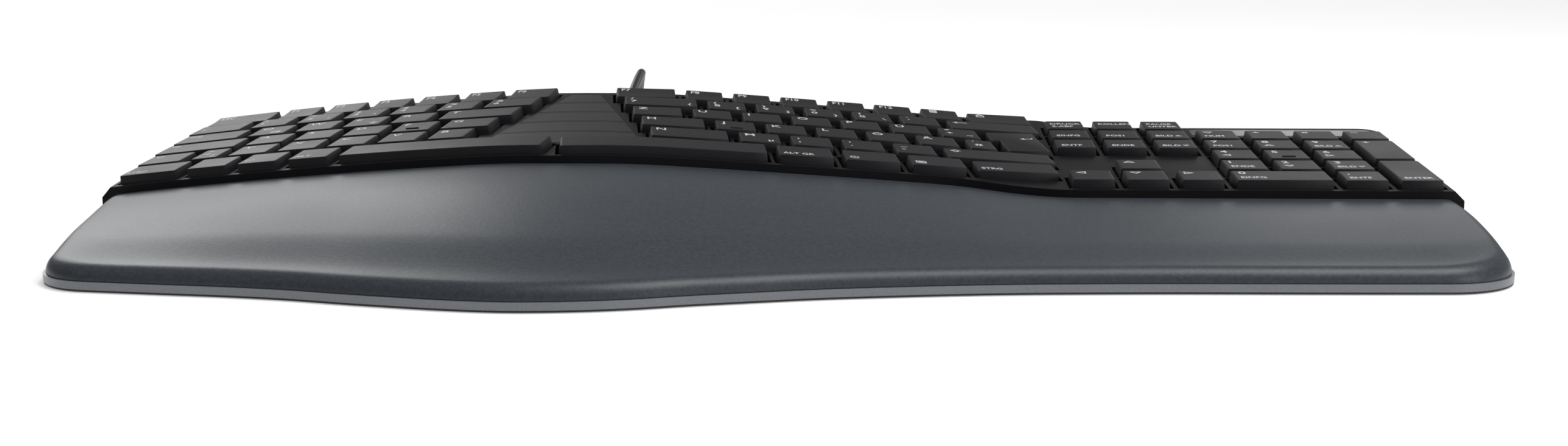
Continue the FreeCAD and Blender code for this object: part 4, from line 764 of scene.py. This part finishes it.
# Points of the arc that rounds a corner from reach before it to reach after it.
def cornerArc(before, corner, after, reach, steps=12):
    into, out = (corner - before).normalized(), (after - corner).normalized()
    half = into.angle(out) / 2
    # A straight line needs no arc.
    if half < 1e-4:
        return [corner - into * reach, corner + out * reach]
    radius = reach / math.tan(half)
    middle = corner + (out - into).normalized() * (radius / math.cos(half))
    start, end = corner - into * reach - middle, corner + out * reach - middle
    whole = start.angle(end)
    points = []
    for n in range(steps + 1):
        turned = n / steps * whole
        points.append(middle + (start * math.sin(whole - turned) + end * math.sin(turned)) / math.sin(whole))
    return points


def filletArc(before, corner, after, radius):
    half = (corner - before).angle(after - corner) / 2
    return cornerArc(before, corner, after, radius * math.tan(half), 24)


def biarc(p, wayP, q, wayQ):
    chord, both = q - p, wayP + wayQ
    spread, along = 2 * (1 - wayP.dot(wayQ)), chord.dot(both)
    reach = chord.dot(chord) / (math.sqrt(along * along + spread * chord.dot(chord)) + along)
    first, second = p + wayP * reach, q - wayQ * reach
    joint = (first + second) * 0.5
    return cornerArc(p, first, joint, reach) + cornerArc(joint, second, q, reach)


def rowLine(block, x):
    a, b = planPoint(block, 0, 0), planPoint(block, 1, 0)
    return Vector((x, a.y + (x - a.x) * (b.y - a.y) / (b.x - a.x) - palmLook["lip"]))


# One side of the palm rest, from the frame's corner to the front curve's end.
def palmSide(knee, end, outward, taper, radius):
    meet = end + outward * ((abs(knee.x - end.x) - taper) / abs(outward.x))
    return [knee] + filletArc(knee, meet, end, radius)


def palmEdgeLine():
    look = palmLook
    points = [Vector(p) for p in look["front"]]
    ways = [(c - a).normalized() for a, c in zip(points, points[2:])]
    ways = [(points[1] - points[0]).normalized()] + ways + [(points[-1] - points[-2]).normalized()]
    line = palmSide(rowLine("left", leftEdge), points[0], -ways[0], look["leftTaper"], look["leftCorner"])
    for p, wayP, q, wayQ in zip(points, ways, points[1:], ways[1:]):
        line += biarc(p, wayP, q, wayQ)
    line += reversed(palmSide(rowLine("pad", rightEdge), points[-1], ways[-1], look["rightTaper"],
                              look["rightCorner"]))
    clean = [line[0]]
    for point in line[1:]:
        if (point - clean[-1]).length > look["closest"]:
            clean.append(point)
    return clean


# A line moved inwards by a distance, of which only a share counts at its ends.
def drawnIn(line, distance, endShare=1.0):
    moved = []
    for n, point in enumerate(line):
        way = (line[min(n + 1, len(line) - 1)] - line[max(n - 1, 0)]).normalized()
        toEnd = min((point - line[0]).length, (point - line[-1]).length)
        share = min(1.0, endShare + toEnd / palmLook["blend"])
        moved.append(point + Vector((-way.y, way.x)) * distance * share)
    return moved


def frameFrontLine():
    padX = layout["padX"]
    points = [rowLine("left", leftEdge), rowLine("left", 0), rowLine("right", padX - 2 * pitch),
              rowLine("pad", padX), rowLine("pad", rightEdge)]
    line = [points[0]]
    for before, corner, after, radius in zip(points, points[1:], points[2:], palmLook["bends"]):
        line += filletArc(before, corner, after, radius)
    return line + [points[-1]]


def heightAt(line, x):
    for a, b in zip(line, line[1:]):
        if a.x <= x <= b.x and b.x > a.x:
            return a.y + (b.y - a.y) * (x - a.x) / (b.x - a.x)
    return line[0].y if x <= line[0].x else line[-1].y


# Finds how far a point lies from a line, on the two stretches at the line's closest point.
def distanceFinder(line):
    dense = []
    for a, b in zip(line, line[1:]):
        count = max(1, int((b - a).length / palmLook["probe"]))
        dense += [a + (b - a) * n / count for n in range(count)]
    dense.append(line[-1])
    tree = KDTree(len(dense))
    for n, point in enumerate(dense):
        tree.insert(point.to_3d(), n)
    tree.balance()

    def distance(x, y):
        at = Vector((x, y))
        near = tree.find(at.to_3d())[1]
        found = []
        for n in range(max(near - 1, 0), min(near + 1, len(dense) - 1)):
            a, b = dense[n], dense[n + 1]
            share = max(0.0, min(1.0, (at - a).dot(b - a) / (b - a).length_squared))
            found.append((a + (b - a) * share - at).length)
        return min(found)
    return distance


# Smooth curve through the profile's points, by slopes from their neighbours.
def profileAt(a):
    points = palmLook["profile"]
    slopes = []
    for n in range(len(points)):
        before, after = points[max(n - 1, 0)], points[min(n + 1, len(points) - 1)]
        slopes.append((after[1] - before[1]) / (after[0] - before[0]))
    slopes[-1] = palmLook["lastSlope"]
    for n in range(len(points) - 1):
        (a0, b0), (a1, b1) = points[n], points[n + 1]
        if a <= a1 or n == len(points) - 2:
            t, wide = (a - a0) / (a1 - a0), a1 - a0
            return ((2 * t ** 3 - 3 * t ** 2 + 1) * b0 + (t ** 3 - 2 * t ** 2 + t) * wide * slopes[n]
                    + (3 * t ** 2 - 2 * t ** 3) * b1 + (t ** 3 - t ** 2) * wide * slopes[n + 1])


# Rises like a quarter of an ellipse from 0 at the edge to 1 at the given depth.
def roundRise(distance, depth):
    return math.sqrt(1 - (1 - min(distance, depth) / depth) ** 2)


# Sections from left to right, closest together towards the ends. A section starts at the front,
# goes over the cushion to its back edge and closes along its foot.
def makeCushion():
    look = palmLook
    palmLine, frameLine = drawnIn(palmEdgeLine(), look["ledge"], 0.2), frameFrontLine()
    edgeDistance = distanceFinder(palmLine)
    start, end = palmLine[0].x + look["endInset"], palmLine[-1].x - look["endInset"]
    zone, steps = look["endZone"], look["endSteps"]
    ends = [zone * (1 - math.cos(math.pi / 2 * n / steps)) for n in range(steps + 1)]
    inner = end - start - 2 * zone
    count = int(inner / look["step"])
    stations = [start + e for e in ends] + [start + zone + inner * n / count for n in range(1, count)]
    stations += [end - e for e in reversed(ends)]
    shares = [1 - math.cos(math.pi / 2 * n / look["around"]) for n in range(look["around"] + 1)]
    work = bmesh.new()
    sections = []
    for x in stations:
        front = heightAt(palmLine, x)
        back = heightAt(frameLine, x) - look["gap"]
        high = keyTop(x, back) - look["belowTop"] - look["trimTop"]
        # Towards its ends the cushion's edge stands higher and rounder.
        bulge = max(0.0, 1 - min(x - start, end - x) / look["cornerReach"]) ** 2 * look["cornerNose"]
        nose = look["nose"] + bulge
        section = []
        for a in shares:
            y = front + (back - front) * a
            away = edgeDistance(x, y) if a > 0 else 0.0
            roll = look["sideRoll"] + (look["cornerRoll"] - look["sideRoll"]) * (1 - a)
            rise = nose * roundRise(away, look["noseDepth"] + bulge)
            rise += (high - nose) * profileAt(a) * roundRise(away, roll)
            section.append((y, look["foot"] + rise))
        section.append((back, look["foot"]))
        sections.append([work.verts.new((Vector((x, y, z)) + frameMove) * mm) for y, z in section])
    addRings(work, sections)
    cushion = addPiece("palmCushion", work, cushionPu, "case", smoothBelow["skin"])
    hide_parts("palm_rest_cushion")


# The base's dark rim that shows as a thin line under the silver trim.
def makeBaseRim():
    edge = palmEdgeLine()
    work = bmesh.new()
    lines = []
    for inward, z in palmLook["rim"]:
        lines.append([work.verts.new((Vector((*point, z)) + frameMove) * mm)
                      for point in drawnIn(edge, inward)])
    addRings(work, [list(section) for section in zip(*lines)])
    addPiece("palmBaseRim", work, caseAbs, "case", smoothBelow["plain"])


makeCushion()
makeBaseRim()
print("palm rest padded")


# Pieces at the cord's ends and round its coil, which stand for plain CAD solids.
reliefLook = {"flange": 4.2, "flangeStart": -3.6, "neckStart": -2.6, "neck": 3.2, "boot": 0.6, "length": 20.0,
              "wide": 4.2, "narrow": 2.7, "ribs": 7, "groove": 0.85, "around": 40, "step": 0.01,
              "endRib": 0.6}
tieLook = {"near": 13.25, "far": 29.65, "low": 1.3, "high": 19.9, "thick": 1.0, "wide": 7.0, "corner": 2.2,
           "chamfer": 0.15, "tail": 10, "tailStart": 1.0, "lift": 0.05}
plugLook = {"wide": 15.6, "tall": 7.8, "long": 26.0, "corner": 2.2,
            "grooves": 6, "groovesAt": 9.0, "groovePitch": 1.8,
            "shellWide": 12.0, "shellTall": 4.5, "shellLong": 18.0, "shellCorner": 0.7, "wall": 0.35,
            "holeWide": 2.3, "holeLong": 2.3, "holeAt": 7.4, "holeOut": 3.0,
            "tongueAt": (0.0, 8.6, -0.75), "tongueSize": (10.6, 17.2, 1.9),
            "contactsX": (-3.5, -1.0, 1.0, 3.5), "contactAt": (12.2, 0.22), "contactSize": (1.1, 9.0, 0.12)}


def makeRelief():
    look = reliefLook
    wall = Vector(cordLook["exit"]) - Vector((0, look["boot"] + look["length"], 0))
    # Pairs of a place along the cord and a radius there.
    profile = [(look["flangeStart"], look["flange"]), (look["neckStart"], look["flange"]),
               (look["neckStart"] + look["step"], look["neck"]), (look["boot"], look["neck"]),
               (look["boot"] + look["step"], look["wide"])]
    pitchOfRibs = look["length"] / (look["ribs"] + look["endRib"])
    for n in range(look["ribs"]):
        at = look["boot"] + pitchOfRibs * n
        taper = (n + look["endRib"]) / look["ribs"]
        radius = look["wide"] + (look["narrow"] - look["wide"]) * taper
        low = radius - look["groove"]
        rib = ((0.5, radius), (0.58, radius - 0.15), (0.62, low), (0.95, low), (0.99, radius - 0.25),
               (1.05, radius - 0.1))
        profile += [(at + pitchOfRibs * share, wide) for share, wide in rib]
    last = look["boot"] + look["length"]
    rounded = ((0.5, 0.0), (0.1, 0.25), (0.0, 0.5))
    profile += [(last - before, look["narrow"] - less) for before, less in rounded]
    work = bmesh.new()
    rings = []
    for y, radius in profile:
        rings.append([work.verts.new((wall + Vector((x, y, z))) * mm)
                      for x, z in circle(radius, look["around"])])
    addRings(work, rings)
    relief = addPiece("strainRelief", work, cordPvc, "case", smoothBelow["ribbed"])
    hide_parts("cable_strain_relief")


# Rounded rectangle in a plane, as points one after the other.
def roundedBox(low, high, corner, steps=6):
    points = []
    for sx, sy, turn in ((1, -1, 270), (1, 1, 0), (-1, 1, 90), (-1, -1, 180)):
        middle = Vector((high.x - corner if sx > 0 else low.x + corner,
                         high.y - corner if sy > 0 else low.y + corner))
        for n in range(steps + 1):
            angle = math.radians(turn + 90 * n / steps)
            points.append(middle + Vector((math.cos(angle), math.sin(angle))) * corner)
    return points


# A hook-and-loop strap: one closed band, and the overlapping tail that lies on its top.
def makeTie():
    look = tieLook
    work = bmesh.new()
    middle = Vector((*cordLook["coilMiddle"], 0))
    half, inset = look["wide"] / 2, look["chamfer"]
    section = [(-half + inset, 0.0), (half - inset, 0.0), (half, 0.25), (half, 0.75), (half - inset, 1.0),
               (-half + inset, 1.0), (-half, 0.75), (-half, 0.25)]

    def band(line, closed, lift):
        rings = []
        for n, point in enumerate(line):
            before = line[n - 1] if closed or n else line[n]
            after = line[(n + 1) % len(line)] if closed or n < len(line) - 1 else line[n]
            way = (after - before).normalized()
            out = Vector((way.y, -way.x))
            spots = [(x, point + out * (lift + share * look["thick"])) for x, share in section]
            rings.append([work.verts.new((middle + Vector((x, *spot))) * mm) for x, spot in spots])
        if closed:
            addRings(work, rings + rings[:1], lids=())
        else:
            addRings(work, rings)

    low, high = Vector((look["near"], look["low"])), Vector((look["far"], look["high"]))
    band(roundedBox(low, high, look["corner"]), True, 0.0)
    start = look["far"] - look["corner"] - look["tailStart"]
    tail = [Vector((start - n, look["high"])) for n in range(look["tail"] + 1)]
    band(tail, False, look["thick"] + look["lift"])
    tie = addPiece("coilStrap", work, strapNylon, "case", smoothBelow["plain"])
    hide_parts("coil_tie")
    return tie


# The plug's grip: rounded sections along Y, narrower at the cord and grooved at the sides.
# Each is its place, and its share of the full width and height.
def makeGrip(at):
    look = plugLook
    sections = [(0.0, 0.36, 0.62), (0.4, 0.42, 0.7), (3.0, 0.46, 0.74), (3.4, 0.7, 0.9),
                (5.2, 0.92, 0.98), (6.6, 1.0, 1.0)]
    for n in range(look["grooves"]):
        start = look["groovesAt"] + n * look["groovePitch"]
        groove = ((0.0, 1.0), (0.3, 0.93), (0.8, 0.93), (1.1, 1.0))
        sections += [(start + y, across, 1.0) for y, across in groove]
    end = look["long"]
    sections += [(end - 0.6, 1.0, 1.0), (end - 0.15, 0.985, 0.97), (end, 0.95, 0.92)]
    work = bmesh.new()
    rings = []
    for y, across, up in sections:
        half = Vector((look["wide"] / 2 * across, look["tall"] / 2 * up))
        ring = roundedBox(-half, half, min(look["corner"], half.y * 0.9), 5)
        rings.append([work.verts.new((at + Vector((p.x, y, p.y))) * mm) for p in ring])
    addRings(work, rings)
    grip = addPiece("plugGrip", work, cordPvc, "case", smoothBelow["ribbed"])
    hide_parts("plug_grip")
    return grip


# Boxes with bevelled edges, all of one size.
def boxes(places, size, edge, segments):
    work = bmesh.new()
    for place in places:
        bmesh.ops.create_cube(work, size=1.0, matrix=Matrix.LocRotScale(place * mm, None, Vector(size) * mm))
    bmesh.ops.bevel(work, geom=list(work.edges), offset=edge * mm, segments=segments, affect="EDGES")
    return work


# The folded steel shell with two square holes in each broad side, and the contact tongue in it.
def makeShell(at):
    look = plugLook
    start = at + Vector((0, look["long"], 0))
    half = Vector((look["shellWide"] - look["wall"], look["shellTall"] - look["wall"])) / 2
    inner, outer = look["holeOut"] - look["holeWide"] / 2, look["holeOut"] + look["holeWide"] / 2
    flat = [-outer, -inner, inner, outer]
    ring = roundedBox(-half, half, look["shellCorner"], 4)
    # Two corners of the shell come before its upper side, and two before its lower one.
    upper = len(ring) // 2
    ring = ring[:upper] + [Vector((x, half.y)) for x in reversed(flat)] + ring[upper:]
    ring += [Vector((x, -half.y)) for x in flat]
    holes = [upper, upper + 2, len(ring) - 4, len(ring) - 2]
    along = [0.0, look["holeAt"], look["holeAt"] + look["holeLong"], look["shellLong"]]
    work = bmesh.new()
    rows = [[work.verts.new((start + Vector((p.x, y, p.y))) * mm) for p in ring] for y in along]
    for step, (first, second) in enumerate(zip(rows, rows[1:])):
        for n in range(len(ring)):
            m = (n + 1) % len(ring)
            if step == 1 and n in holes:
                continue
            work.faces.new((first[n], first[m], second[m], second[n]))
    bmesh.ops.recalc_face_normals(work, faces=work.faces)
    bmesh.ops.solidify(work, geom=list(work.faces), thickness=look["wall"] * mm)
    shell = addPiece("plugShell", work, nickelSteel, "case", smoothBelow["plain"])
    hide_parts("plug_shell")
    tongue = boxes([start + Vector(look["tongueAt"])], look["tongueSize"], 0.25, 2)
    inside = addPiece("plugTongue", tongue, innerAbs, "case", smoothBelow["plain"])
    places = [start + Vector((x, *look["contactAt"])) for x in look["contactsX"]]
    contacts = addPiece("plugContacts", boxes(places, look["contactSize"], 0.03, 1), contactGold,
                        "case", smoothBelow["plain"])
    return [shell, inside, contacts]


makeRelief()
coilStrap = makeTie()
plugPieces = [makeGrip(cordEnd)] + makeShell(cordEnd)
print("relief, strap and plug made")


# The CAD parts that show as they are get these finishes.
finishes = {
    frameAbs: ["top_frame"], panelAbs: ["centre_panel"], windowPc: ["indicator_panel"],
    caseAbs: ["bottom_case", "palm_rest_base", "tilt_foot_left", "tilt_foot_right"],
    innerAbs: ["key_guide_plate"], siliconeRubber: ["rubber_domes"], polyesterFilm: ["membrane_sheet"],
    zincSteel: ["support_plate"], boardLaminate: ["controller_board"], silverPaint: ["palm_rest_trim"],
    blackenedSteel: ["case_screws"], padRubber: ["rubber_feet"]}
for material, names in finishes.items():
    for name in names:
        cadNodes[name].data.materials.clear()
        cadNodes[name].data.materials.append(material)
print("CAD parts finished")

Vector(cordLook["exit"]) * mm
cordLook["length"] * mm
cordLook["diameter"] * mm


stageLook = {"floor": "#f4f4f4", "bounce": "#909090", "glow": 0.4, "half": 6.0, "world": 0.2}
work = bmesh.new()
bmesh.ops.create_grid(work, x_segments=1, y_segments=1, size=stageLook["half"])
floorMesh = meshFrom("tableTop", work)
floor = addObject("tableTop", floorMesh)
floorPaper, floorTree = newMaterial("whitePaper")
rays = addNode(floorTree, "ShaderNodeLightPath").outputs
seen = rays["Is Camera Ray"]
for other in ("Is Glossy Ray", "Is Transmission Ray"):
    seen = addNode(floorTree, "ShaderNodeMath", {0: seen, 1: rays[other]}, operation="MAXIMUM").outputs[0]
paperShade = addNode(floorTree, "ShaderNodeMix", {
    0: seen, 6: linear(stageLook["bounce"]), 7: linear(stageLook["floor"])}, data_type="RGBA").outputs[2]
paper = addNode(floorTree, "ShaderNodeBsdfDiffuse", {"Color": paperShade}).outputs[0]
glow = addNode(floorTree, "ShaderNodeMath", {0: seen, 1: stageLook["glow"]}, operation="MULTIPLY").outputs[0]
lightBox = addNode(floorTree, "ShaderNodeEmission", {"Color": linear("#ffffff"), "Strength": glow}).outputs[0]
both = addNode(floorTree, "ShaderNodeAddShader", {0: paper, 1: lightBox}).outputs[0]
addNode(floorTree, "ShaderNodeOutputMaterial", {"Surface": both})
floorMesh.materials.append(floorPaper)

world = bpy.data.worlds.new("studio")
scene.world = world
world.use_nodes = True
world.node_tree.nodes.clear()
sky = addNode(world.node_tree, "ShaderNodeBackground", {
    "Color": linear("#ffffff"), "Strength": stageLook["world"]})
addNode(world.node_tree, "ShaderNodeOutputWorld", {"Surface": sky.outputs["Background"]})

# Softboxes: place, aim, size and power in watts.
lamps = {
    "leftBackSoftbox": ((-1.15, 1.9, 1.05), (-0.12, 0.0, 0.0), 1.1, 12.0),
    "rightBackSoftbox": ((0.9, 2.2, 0.85), (0.15, 0.0, 0.0), 0.7, 2.0),
    "rightFrontSoftbox": ((1.7, -1.5, 0.6), (0.1, -0.1, 0.0), 0.8, 9.0),
    "overheadSoftbox": ((0.65, -0.3, 1.45), (0.05, 0.0, 0.0), 0.9, 16.0)}
for name, (place, aim, wide, power) in lamps.items():
    light = bpy.data.lights.new(name, "AREA")
    light.shape = "SQUARE"
    light.size = wide
    light.energy = power
    lamp = addObject(name, light)
    lamp.location = place
    lamp.rotation_euler = (Vector(aim) - Vector(place)).to_track_quat("-Z", "Y").to_euler()
print("light set")
